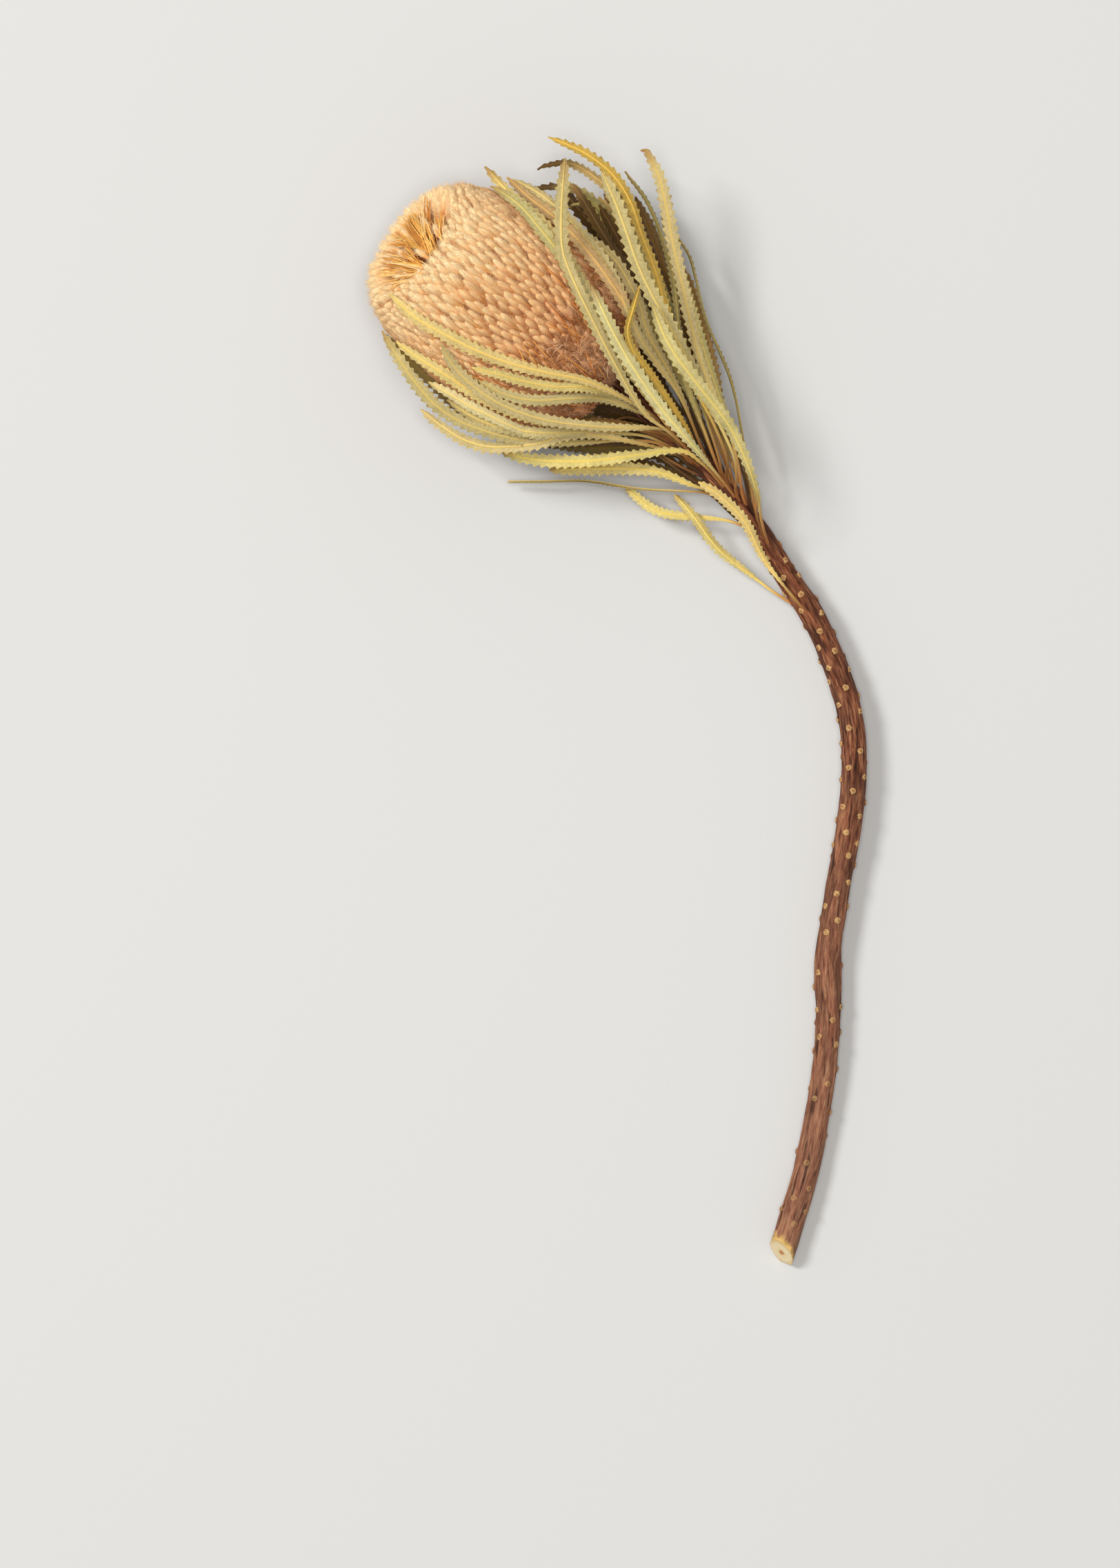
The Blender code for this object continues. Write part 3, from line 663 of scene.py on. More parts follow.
# Midribs of many leaves with what the blade tree needs at each of their points
def bladeStart(name, rows):
    draw = random.Random(leaves["seed"])
    points, edges = [], []
    kept = "facing", "acrossWay", "reach", "toothOut", "bladePart", "curl", "tint", "share", "tipBrown"
    marks = {k: [] for k in kept}
    for root, wide, rollRoot, rollTip, tint, given in rows:
        width = wide * leaves["widen"][name]
        steps = leaves["stalkSteps"]
        whole = leaves["coarseTeeth"]
        shares = [leaves["stalkShare"] * k / steps for k in range(steps)]
        shares += [leaves["stalkShare"] + (leaves["tipShare"] - leaves["stalkShare"]) * k / whole
                   for k in range(whole + 1)] + [1]
        line = placesAlong(leafLine(root, given, 201), shares)
        frames = leafFacings(line, rollRoot, rollTip)
        blades = [(share - leaves["stalkShare"]) / (1 - leaves["stalkShare"]) for share in shares]
        reach = [halfWidth(b, width) if b >= 0 else leaves["stalkWidth"] / 2 for b in blades]
        line = keepClear(line, [t.cross(n).normalized() * r for (t, n), r in zip(frames, reach)])

        fine = smoothCurve(line, 401)
        length = sum((q - p).length for p, q in zip(fine, fine[1:]))
        first, last = draw.uniform(*leaves["firstTooth"]), leaves["tipShare"]
        teeth = round(length * (1 - first) / (leaves["pitchShare"] * width))
        fineShares = [first * k / 12 for k in range(12)]
        outs = [0.0] * 12
        for k in range(teeth):
            for part, out in ((0, 0.0), (leaves["toothAt"] / 2, 0.4), (leaves["toothAt"], 1.0)):
                place = (k + part + draw.uniform(-0.06, 0.06) * (part > 0)) / teeth
                fineShares.append(first + (last - first) * place)
                outs.append(out * draw.uniform(0.8, 1.1))
        fineShares += [leaves["tipShare"], 1.0]
        outs += [0.0, 0.0]
        middle = placesAlong(fine, fineShares)
        lightness, green = draw.uniform(0.88, 1.12), draw.uniform(0.95, 1.05)
        colour, tipColour = (Vector(toLinear(tints[word])[:3]) * lightness
                             for word in (tint.split("/")[0], tint.split("/")[-1]))
        colour.y *= green
        tipColour.y *= green
        curl, wave, brown = draw.uniform(-0.5, 0.9), draw.uniform(0, 6.28), draw.uniform(0, 1)
        firstPoint = len(points)
        for share, out, here, ahead, back in zip(fineShares, outs, middle, middle[1:] + middle[-1:],
                                                 middle[:1] + middle[:-1]):
            at = share * (len(line) - 1)
            near = min(range(len(shares)), key=lambda k: abs(shares[k] - share))
            other = min(max(near + (1 if share > shares[near] else -1), 0), len(shares) - 1)
            gap = abs(shares[other] - shares[near])
            mixed = frames[near][1].lerp(frames[other][1], abs(share - shares[near]) / gap if gap else 0)
            tangent = (ahead - back).normalized()
            facing = (mixed - tangent * mixed.dot(tangent)).normalized()
            inBlade = (share - leaves["stalkShare"]) / (1 - leaves["stalkShare"])
            reachHere = halfWidth(inBlade, width)
            if inBlade < 0:
                reachHere *= 1 + inBlade / 0.3 * (1 - leaves["rootShare"] / 0.25)
            points.append(here)
            marks["facing"].append(facing)
            marks["acrossWay"].append(tangent.cross(facing).normalized())
            marks["reach"].append(reachHere * mm)
            marks["toothOut"].append(out)
            marks["bladePart"].append(min(max((share - first) / 0.05, 0), 1))
            marks["curl"].append((curl + 0.35 * math.sin(wave + at * 1.3)) * mm)
            tipPart = min(max((share - leaves["tipFrom"]) / leaves["tipOver"], 0), 1)
            marks["tint"].append((*colour.lerp(tipColour, tipPart), 1))
            marks["share"].append(share)
            marks["tipBrown"].append(brown)
        edges += [(firstPoint + k, firstPoint + k + 1) for k in range(len(middle) - 1)]
    return startMesh(name, points, edges, marks)


# The blade's section as a ring of points, from half of it listed edge to midrib: (side, edge, top, under)
def bladeSection():
    valley, rib, thin = leaves["valleyShare"], leaves["ribHeight"], leaves["thickness"] / 2
    half = [(valley, 1, 0.0, 0.0), (valley * 0.9, 0, thin, -thin)]
    half += [(valley * 0.3, 0, thin * 1.1, -thin * 1.3), (0.13, 0, thin * 1.4, -thin * 2)]
    top = [(s, e, t) for s, e, t, _ in half] + [(0, 0, rib)] + [(-s, -e, t) for s, e, t, _ in reversed(half)]
    under = [(-s, e, u) for s, e, _, u in half[1:]] + [(0, 0, -rib)]
    under += [(s, e, u) for s, e, _, u in reversed(half[1:])]
    ring = top + under
    spots, marks = [], {k: [] for k in ("side", "edge", "level", "stalkX", "stalkY")}
    for k, (across, edge, level) in enumerate(ring):
        turn = 2 * math.pi * k / len(ring)
        spots.append((math.cos(turn), math.sin(turn), 0))
        marks["side"].append(across)
        marks["edge"].append(edge)
        marks["level"].append(level * mm)
        marks["stalkX"].append(math.cos(turn) * leaves["fineStalk"] / 2 * mm)
        marks["stalkY"].append(math.sin(turn) * leaves["fineStalk"] * 0.4 * mm)
    edges = [(k, (k + 1) % len(ring)) for k in range(len(ring))]
    section = addObject("bladeSection", startMesh("bladeSection", spots, edges, marks))
    section.hide_render = True
    return section


# Sweeps the toothed section along each midrib
def buildBlade():
    asked = {"Section": "Object", "Valley": "Float", "Material": "Material"}
    tree, given, end = newGrower("toothedBlade", asked)
    values = {}
    kinds = {"facing": "FLOAT_VECTOR", "acrossWay": "FLOAT_VECTOR", "middle": "FLOAT_VECTOR"}
    plain = "reach", "toothOut", "bladePart", "curl", "side", "edge", "level", "stalkX", "stalkY"
    for name in (*kinds, *plain):
        values[name] = named(tree, name, kinds.get(name, "FLOAT"))
    position = addNode(tree, "GeometryNodeInputPosition")
    marked = store(tree, given["Geometry"], "middle", position, "FLOAT_VECTOR")
    curve = addNode(tree, "GeometryNodeMeshToCurve", None, {"Mesh": marked})
    section = addNode(tree, "GeometryNodeObjectInfo", None, {"Object": given["Section"]})
    ring = addNode(tree, "GeometryNodeMeshToCurve", None, {"Mesh": section.outputs["Geometry"]})
    swept = addNode(tree, "GeometryNodeCurveToMesh", None,
                    {"Curve": curve, "Profile Curve": ring, "Scale": mm, "Fill Caps": True})
    # across: reach * (side + edge * tooth * (1 - valley)), or the round stalk
    room = doMath(tree, "SUBTRACT", 1.0, given["Valley"])
    tooth = doMath(tree, "MULTIPLY", values["toothOut"], room)
    pushed = doMath(tree, "MULTIPLY_ADD", values["edge"], tooth, values["side"])
    wide = doMath(tree, "MULTIPLY", pushed, values["reach"])
    across = addNode(tree, "ShaderNodeMix", None,
                     {"Factor": values["bladePart"], "A": values["stalkX"], "B": wide})
    # height: the section's level and the curl of the margins
    square = doMath(tree, "MULTIPLY", pushed, pushed)
    curled = doMath(tree, "MULTIPLY_ADD", square, values["curl"], values["level"])
    height = addNode(tree, "ShaderNodeMix", None,
                     {"Factor": values["bladePart"], "A": values["stalkY"], "B": curled})
    sideways = doVector(tree, "SCALE", values["acrossWay"], across)
    lifted = doVector(tree, "SCALE", values["facing"], height)
    offset = doVector(tree, "ADD", sideways, lifted)
    placed = doVector(tree, "ADD", values["middle"], offset)
    end(addNode(tree, "GeometryNodeSetPosition", None, {"Geometry": swept, "Position": placed}))
    return tree


# Dried leaf: leathery and matt, khaki with a raised cream midrib, browned teeth and orange-brown stalk
def leafMaterial():
    made, tree, shader = newMaterial("driedLeaf")
    place = inObject(tree)
    read = reads(tree, "tint", "side", "share", "tipBrown", "toothOut", "level", "edge")
    patches = noise(tree, place, 140.0, 3.0)
    shift = mapTo(tree, patches, 0.3, 0.7, 0.88, 1.1)
    varied = blend(tree, 1.0, read["tint"].outputs["Color"], shift, "MULTIPLY")
    # net of tiny veins
    specks = addNode(tree, "ShaderNodeTexVoronoi", {"feature": "DISTANCE_TO_EDGE"},
                     {"Vector": place, "Scale": 2400.0})
    net = mapTo(tree, specks.outputs[0], 0.0, 0.3, 0.9, 1.04)
    netted = blend(tree, 1.0, varied, net, "MULTIPLY")
    flecks = noise(tree, place, 1000.0, 3.0)
    flecked = mapTo(tree, flecks, 0.34, 0.66, 0.84, 1.12)
    grained = blend(tree, 1.0, netted, flecked, "MULTIPLY")
    off = doMath(tree, "ABSOLUTE", read["side"])
    # yellower beside the midrib and along the margin
    inner = mapTo(tree, off, 0.1, 0.34, 0.34, 0.0)
    outer = mapTo(tree, off, 0.57, 0.62, 0.0, 0.25)
    both = doMath(tree, "ADD", inner, outer)
    yellower = doVector(tree, "MULTIPLY", read["tint"].outputs["Color"], (1.15, 1.04, 0.6))
    warmed = blend(tree, both, grained, yellower)
    ribEdge = mapTo(tree, read["share"], 0.22, 0.6, 0.42, 0.15)
    rib = mapTo(tree, off, 0.04, ribEdge, 0.9, 0.0)
    paler = doVector(tree, "MULTIPLY", read["tint"].outputs["Color"], (1.44, 1.31, 0.86))
    ribbed = blend(tree, rib, warmed, paler)
    # teeth browned at their points, in patches
    scorch = noise(tree, place, 90.0, 2.0)
    scorched = mapTo(tree, scorch, 0.5, 0.66)
    edgy = doMath(tree, "ABSOLUTE", read["edge"])
    point = doMath(tree, "MULTIPLY", edgy, read["toothOut"])
    browned = doMath(tree, "MULTIPLY", point, scorched)
    toothed = blend(tree, browned, ribbed, toLinear("8A6A38"))
    # tips browned on some leaves
    near = mapTo(tree, read["share"], 0.93, 1.0)
    fate = mapTo(tree, read["tipBrown"], 0.6, 1.0)
    tipped = doMath(tree, "MULTIPLY", near, fate)
    ended = blend(tree, tipped, toothed, toLinear("A57B45"))
    # underside: felted, paler and browner
    under = doMath(tree, "LESS_THAN", read["level"], -0.00002)
    felted = doMath(tree, "MULTIPLY", under, 0.55)
    sided = blend(tree, felted, ended, toLinear("A99A6A"))
    # stalks: their own orange-brown, darker towards the stem as painted shade among the stalks
    stalkColour = colours(tree, read["share"],
                          [(0.0, "6A3820"), (0.08, "B06E3A"), (0.2, "D29C54"), (0.3, "DEB86C")])
    # painted shade: stalks of leaves with darker tints are darkened with them; a random per-leaf factor
    # varies them too
    lightness = addNode(tree, "ShaderNodeSeparateXYZ", None, {0: read["tint"].outputs["Vector"]})
    shadeByTint = mapTo(tree, lightness.outputs[1], 0.05, 0.36, 0.16, 1.0)
    worn = mapTo(tree, read["tipBrown"], 0.0, 1.0, 0.55, 1.1)
    shadeAndTone = doMath(tree, "MULTIPLY", shadeByTint, worn)
    stalkShaded = doVector(tree, "SCALE", stalkColour, shadeAndTone)
    stalky = mapTo(tree, read["share"], 0.2, 0.36)
    stalk = blend(tree, stalky, stalkShaded, sided)
    bump = addNode(tree, "ShaderNodeBump", None, {"Strength": 0.35, "Distance": 0.0003, "Height": net})
    setInputs(tree, shader, {
        "Base Color": stalk, "Normal": bump, "Roughness": 0.62, "Specular IOR Level": 0.3,
    })
    return made


def makeLeaves():
    tree, section, leather = buildBlade(), bladeSection(), leafMaterial()
    values = {"Section": section, "Valley": leaves["valleyShare"], "Material": leather}
    for name, rows in (("upperLeaves", leaves["upper"]), ("lowerLeaves", leaves["lower"]),
                       ("innerLeaves", leaves["inner"]), ("underLeaves", hiddenLeaves())):
        wear(grow(name, bladeStart(name, rows), tree, values, sharp=50), "leafy_stem")
    bpy.data.objects.remove(section, do_unlink=True)
    print("leaves made")


# The woody stem

# Bark of a dried shrub: matt red-brown fibres, greyer and pinker lower down, with pale corky leaf scars
def barkMaterial():
    made, tree, shader = newMaterial("driedBark")
    read = reads(tree, "barkMap", "down", "scar", "cutNear", "groove")
    fibres = addNode(tree, "ShaderNodeTexNoise", None,
                     {"Vector": read["barkMap"].outputs["Vector"], "Scale": 1100.0, "Detail": 5.0,
                      "Roughness": 0.7})
    blotches = noise(tree, read["barkMap"].outputs["Vector"], 110.0, 4.0)
    upper = colours(tree, fibres, [(0.3, "260E06"), (0.41, "5A2A15"), (0.5, "80482C"), (0.6, "9C6240"),
                                   (0.74, "C48E60")])
    lower = colours(tree, fibres, [(0.24, "5E3222"), (0.4, "88533C"), (0.5, "9A664C"), (0.6, "AC7B5B"),
                                   (0.76, "C9A078")])
    way = mapTo(tree, read["down"], 0.12, 0.33)
    drift = mapTo(tree, blotches, 0.3, 0.7, -0.35, 0.35)
    drifted = addNode(tree, "ShaderNodeMath", {"operation": "ADD", "use_clamp": True}, {0: way, 1: drift})
    mixed = blend(tree, drifted, upper, lower)
    # darker down in the fibre grooves, most near the cone: the bark's own dark furrows together with painted
    # shade in them
    deep = mapTo(tree, read["groove"], 0.4, 0.58, 0.42, 1.06)
    rugged = mapTo(tree, drifted, 0.0, 1.0, 1.0, 0.45)
    grooved = blend(tree, rugged, mixed, deep, "MULTIPLY")
    # short black cracks along the fibres
    split = noise(tree, read["barkMap"].outputs["Vector"], 640.0, 2.0)
    crack = mapTo(tree, split, 0.58, 0.66, 0.0, 0.75)
    cracked = blend(tree, crack, grooved, toLinear("2A120A"))
    # corky scars with ragged edges and a browner middle
    place = inObject(tree)
    crumbs = noise(tree, place, 1100.0, 2.0)
    ragged = doMath(tree, "MULTIPLY_ADD", crumbs, 1.1, read["scar"])
    corky = mapTo(tree, ragged, 0.95, 1.15, 0.0, 0.9)
    fading = mapTo(tree, read["down"], 0.24, 0.34, 1.0, 0.45)
    fadedCork = doMath(tree, "MULTIPLY", corky, fading)
    middle = mapTo(tree, ragged, 1.38, 1.52, 0.0, 0.8)
    cork = blend(tree, middle, toLinear("D6AC70"), toLinear("9A6234"))
    scarred = blend(tree, fadedCork, cracked, cork)
    torn = blend(tree, read["cutNear"], scarred, toLinear("DDB469"))
    bump = addNode(tree, "ShaderNodeBump", None, {"Strength": 0.6, "Distance": 0.0004, "Height": fibres})
    setInputs(tree, shader, {
        "Base Color": torn, "Normal": bump, "Roughness": 0.8, "Specular IOR Level": 0.25,
    })
    return made


# Sawn end grain: pale cream wood, a little darker in rings, with an orange-brown pith
def cutMaterial():
    made, tree, shader = newMaterial("cutWood")
    place = inObject(tree)
    centred = addNode(tree, "ShaderNodeMapping", {"vector_type": "TEXTURE"},
                      {"Vector": place, "Location": stem["cutPoint"] * mm})
    away = doVector(tree, "LENGTH", centred)
    ragged = noise(tree, place, 500.0, 3.0)
    pith = doMath(tree, "MULTIPLY_ADD", ragged, 0.002, away.outputs["Value"])
    ramp = colours(tree, mapTo(tree, pith, 0.0, 0.008),
                   [(0.0, "B9713F"), (0.24, "C98A55"), (0.34, "EBD3A0"), (0.62, "F0DDB2"),
                    (1.0, "D9B067")])
    setInputs(tree, shader, {"Base Color": ramp, "Roughness": 0.75})
    return made


# Sweeps the stem, then raises fibres and leaf scars from it
def buildBark():
    tree, given, end = newGrower("barkOnStem", {
        "Sides": "Int", "Scars": "Object", "Fibre Height": "Float", "Scar Height": "Float",
        "Scar Radius": "Float", "Material": "Material",
    })
    values = {name: named(tree, name) for name in ("reach", "turn", "down")}
    curve = addNode(tree, "GeometryNodeMeshToCurve", None, {"Mesh": given["Geometry"]})
    ring = addNode(tree, "GeometryNodeCurvePrimitiveCircle", None,
                   {"Resolution": given["Sides"], "Radius": 1.0})
    place = addNode(tree, "GeometryNodeInputIndex")
    share = doMath(tree, "DIVIDE", place, given["Sides"])
    angle = doMath(tree, "MULTIPLY", share, 2 * math.pi)
    marked = store(tree, ring, "turn", angle)
    swept = addNode(tree, "GeometryNodeCurveToMesh", None,
                    {"Curve": curve, "Profile Curve": marked, "Scale": values["reach"],
                     "Fill Caps": True})
    # bark coordinates: round the stem at its radius and slowly down it, so that noise is drawn out
    east = doMath(tree, "COSINE", values["turn"])
    north = doMath(tree, "SINE", values["turn"])
    x = doMath(tree, "MULTIPLY", east, values["reach"])
    y = doMath(tree, "MULTIPLY", north, values["reach"])
    z = doMath(tree, "MULTIPLY", values["down"], 0.13)
    barkMap = addNode(tree, "ShaderNodeCombineXYZ", None, {0: x, 1: y, 2: z})
    mapped = store(tree, swept, "barkMap", barkMap, "FLOAT_VECTOR")
    readMap = named(tree, "barkMap", "FLOAT_VECTOR")
    fibres = noise(tree, readMap, stem["fibreScale"], 4.0)
    scars = addNode(tree, "GeometryNodeObjectInfo", None, {"Object": given["Scars"]})
    near = addNode(tree, "GeometryNodeProximity", {"target_element": "POINTS"},
                   {0: scars.outputs["Geometry"]})
    scar = addNode(tree, "ShaderNodeMapRange", {"interpolation_type": "SMOOTHSTEP"},
                   {"Value": near.outputs["Distance"], "From Min": given["Scar Radius"],
                    "From Max": stem["scarFlat"], "To Min": 0.0, "To Max": 1.0})
    grooved = store(tree, mapped, "groove", fibres)
    scarred = store(tree, grooved, "scar", scar)
    swell = doMath(tree, "MULTIPLY", scar, given["Scar Height"])
    centred = doMath(tree, "SUBTRACT", fibres, 0.62)
    rise = doMath(tree, "MULTIPLY_ADD", centred, given["Fibre Height"], swell)
    normal = addNode(tree, "GeometryNodeInputNormal")
    push = doVector(tree, "SCALE", normal, rise)
    end(addNode(tree, "GeometryNodeSetPosition", None, {"Geometry": scarred, "Offset": push}))
    return tree


def makeStem():
    line = stemLine(stem["fineStep"])
    run = [0.0]
    for p, q in zip(line, line[1:]):
        run.append(run[-1] + (q.xyz - p.xyz).length)
    edges = [(k, k + 1) for k in range(len(line) - 1)]
    start = startMesh("stemStart", [p.xyz for p in line], edges,
                      {"reach": [p.w * mm for p in line], "down": [d * mm for d in run]})
    draw = random.Random(stem["seed"])
    spots = []
    for k in range(stem["scarCount"]):
        distance = stem["scarFirst"] + k * stem["scarSpacing"]
        if draw.random() < stem["scarsLost"] + (distance - stem["lostFrom"]) * stem["lostEach"]:
            continue
        centre, along, radius = stemAt(distance + draw.uniform(-0.8, 0.8))
        across = along.cross(up).normalized()
        turn = k * stem["scarTurn"] + draw.uniform(-0.2, 0.2)
        spots.append(centre + (across * math.cos(turn) + across.cross(along) * math.sin(turn)) * radius)
    scarObject = addObject("scarSpots", startMesh("scarSpots", spots, [], {}))
    bark, cut = barkMaterial(), cutMaterial()
    made = grow("barkedStem", start, buildBark(), {
        "Sides": stem["sides"], "Scars": scarObject, "Fibre Height": stem["fibreHeight"],
        "Scar Height": stem["scarHeight"], "Scar Radius": stem["scarRadius"], "Material": bark,
    })
    bpy.data.objects.remove(scarObject, do_unlink=True)

    # the slanting cut, with a new face of pale wood
    work = bmesh.new()
    work.from_mesh(made.data)
    cutEdges = bmesh.ops.bisect_plane(
        work, geom=work.verts[:] + work.edges[:] + work.faces[:], plane_co=stem["cutPoint"] * mm,
        plane_no=stem["cutFacing"], clear_outer=True,
    )["geom_cut"]
    rim = [e for e in cutEdges if isinstance(e, bmesh.types.BMEdge)]
    face = bmesh.ops.holes_fill(work, edges=rim)["faces"]
    for f in face:
        f.material_index = 1
        f.smooth = False
    work.to_mesh(made.data)
    work.free()
    made.data.materials.append(cut)
    facing = stem["cutFacing"].normalized()
    near = made.data.attributes.new("cutNear", "FLOAT", "POINT")
    spread = [draw.uniform(*stem["tearReach"]) for _ in range(stem["tearParts"])]
    for v in made.data.vertices:
        spot = v.co / mm
        away = -(spot - stem["cutPoint"]).dot(facing)
        turn = math.atan2(spot.z - stem["cutMiddle"][1], spot.x - stem["cutMiddle"][0]) + math.pi
        reach = spread[int(turn / (2 * math.pi) * (stem["tearParts"] - 0.01))]
        near.data[v.index].value = min(max(stem["tearMost"] - away / reach, 0), 1)
    wear(made, "leafy_stem")
    print("stem made")


# The cone's florets, styles and felt

florets = {
    "count": 1900,
    # by the distance from the base, as the next three are
    "crowding": [(0, 1.0), (35, 1.0), (60, 0.9), (78, 0.78), (88, 0.84), (95, 0.9)],
    "length": [(0, 6.5), (12, 9), (50, 10.5), (75, 13), (95, 14)],
    "halfWidth": [(0, 0.8), (25, 1.1), (45, 1.35), (75, 1.64), (86, 1.88), (95, 2.1)],
    "tousle": [(0, 0.55), (18, 0.45), (36, 0.26), (55, 0.15), (80, 0.12), (95, 0.16)],
    "crownKept": 0.95,
    "sunk": 1.1,  # a floret's middle lies this far under the outline
    "rise": 2.3,  # the core lies this far under the tips
    "lift": [(0, 30), (18, 17), (50, 12), (75, 9), (95, 8)],  # degrees that a floret stands off the surface
    "turn": math.radians(137.50776),
    "crownFrom": 86.0,
    "openFrom": 80,  # florets turn from lying along the cone to standing out of its crown
    "openOver": 14,
    "wallRadius": 18.5,  # the hollow's wall lies inside this
    "tuft": {"Length": 8.0, "Bend": 0.4, "Roughness": 0.0007, "Grain": 900.0, "Seed": 4},
    "hairSeed": 9,
    "wallKept": 0.24,  # share of the florets left on the hollow's wall
    "seed": 5,
    "hairDensity": {"crestFuzz": 2050000, "flankFuzz": 550000, "crownFuzz": 1900000, "baseFuzz": 2600000},
    "hairLength": {"crestFuzz": 1.6, "flankFuzz": 1.6, "crownFuzz": 2.2, "baseFuzz": 3.2},
    "hairWidth": {"crestFuzz": 0.16, "flankFuzz": 0.16, "crownFuzz": 0.16, "baseFuzz": 0.2},
    "hairSpread": {"crestFuzz": 0.45, "flankFuzz": 0.45, "crownFuzz": 0.55, "baseFuzz": 0.9},
    "baseTo": 30.0,
    # florets that lie loose over the hollow: (root, tip), each by its way to the crest and to the side
    "stray": [
        ((2.8, -5.5), (-6.6, -5.4)), ((15.8, -1.7), (7.4, -1.9)), ((-5.1, -8.1), (-11.5, -14.9)),
        ((6.6, 5.7), (-5.9, 10.6)), ((13, -9), (5, -15)), ((-8, 1), (-16, 2.5)), ((-4, 10), (-12, 15)),
        ((16, 6), (8, 10)), ((-10, -4), (-18, -6.5)), ((4, 13), (-2, 19)), ((9, -14), (2, -21)),
    ],
}


# The floret outline as (along, radius, tangent along, tangent out, area to here by its crowding)
def coneRows():
    line = smoothCurve([(along, radius, 0) for along, radius in cone["outline"]], 401)
    rows, area = [], 0.0
    for k, here in enumerate(line):
        ahead = (line[min(k + 1, 400)] - line[max(k - 1, 0)]).normalized()
        if k:
            band = (here - line[k - 1]).length * (here.y + line[k - 1].y) * math.pi
            area += band * readTable(florets["crowding"], here.x)
        rows.append((here.x, here.y, ahead.x, ahead.y, area))
    return rows


# The brown body that the florets grow from
def makeCore(rows):
    made, tree, shader = newMaterial("feltedCore")  # packed apricot-brown felt between the florets
    place = inObject(tree)
    grain = noise(tree, place, 900.0, 3.0)
    # the core's own brown, kept dark partly as painted shade in the gaps between the florets
    ramp = colours(tree, grain, [(0.3, "9A5C30"), (0.5, "C08450"), (0.7, "D8A468")])
    bump = addNode(tree, "ShaderNodeBump", None, {"Strength": 0.8, "Distance": 0.0006, "Height": grain})
    # painted shade: darker from the rim into the crown's hollow
    deep = addNode(tree, "ShaderNodeAttribute", {"attribute_name": "hollow"})
    dim = blend(tree, deep.outputs["Fac"], ramp, toLinear("E6C4A0"), "MULTIPLY")
    setInputs(tree, shader, {"Base Color": dim, "Normal": bump, "Roughness": 0.95})
    columns, spots, faces, ring = 72, [], [], []
    picked = rows[::8]
    for j, (along, radius, dx, dy, _) in enumerate(picked):
        sink = florets["rise"] if 0 < j < len(picked) - 1 else florets["rise"] * 0.6
        row = []
        for i in range(columns):
            turn = 2 * math.pi * i / columns
            point, out = onCone(along, radius, turn)
            point = point - (out * dx - axis * dy).normalized() * sink * min(1, 0.2 + j / 4)
            point.z = max(point.z, 0.0)
            row.append(len(spots))
            spots.append(point * mm)
        ring.append(row)
    faces += [tuple(ring[0]), tuple(reversed(ring[-1]))]
    for a, b in zip(ring, ring[1:]):
        faces += [(a[i], b[i], b[(i + 1) % columns], a[(i + 1) % columns]) for i in range(columns)]
    mesh = bpy.data.meshes.new("coneCore")
    mesh.from_pydata(spots, [], faces)
    rim = max(range(len(picked)), key=lambda j: picked[j][0])
    # the hollow attribute carries the painted shade of the crown's hollow
    hollow = [min(max((j - rim) / 3, 0), 1) for j in range(len(picked)) for _ in range(columns)]
    mesh.attributes.new("hollow", "FLOAT", "POINT").data.foreach_set("value", hollow)
    faceOut(mesh)
    mesh.shade_smooth()
    mesh.materials.append(made)
    core = addObject("coneCore", mesh)
    wear(core, "cone")


def jitter(draw, much):
    return Vector([draw.uniform(-much, much) for _ in range(3)])


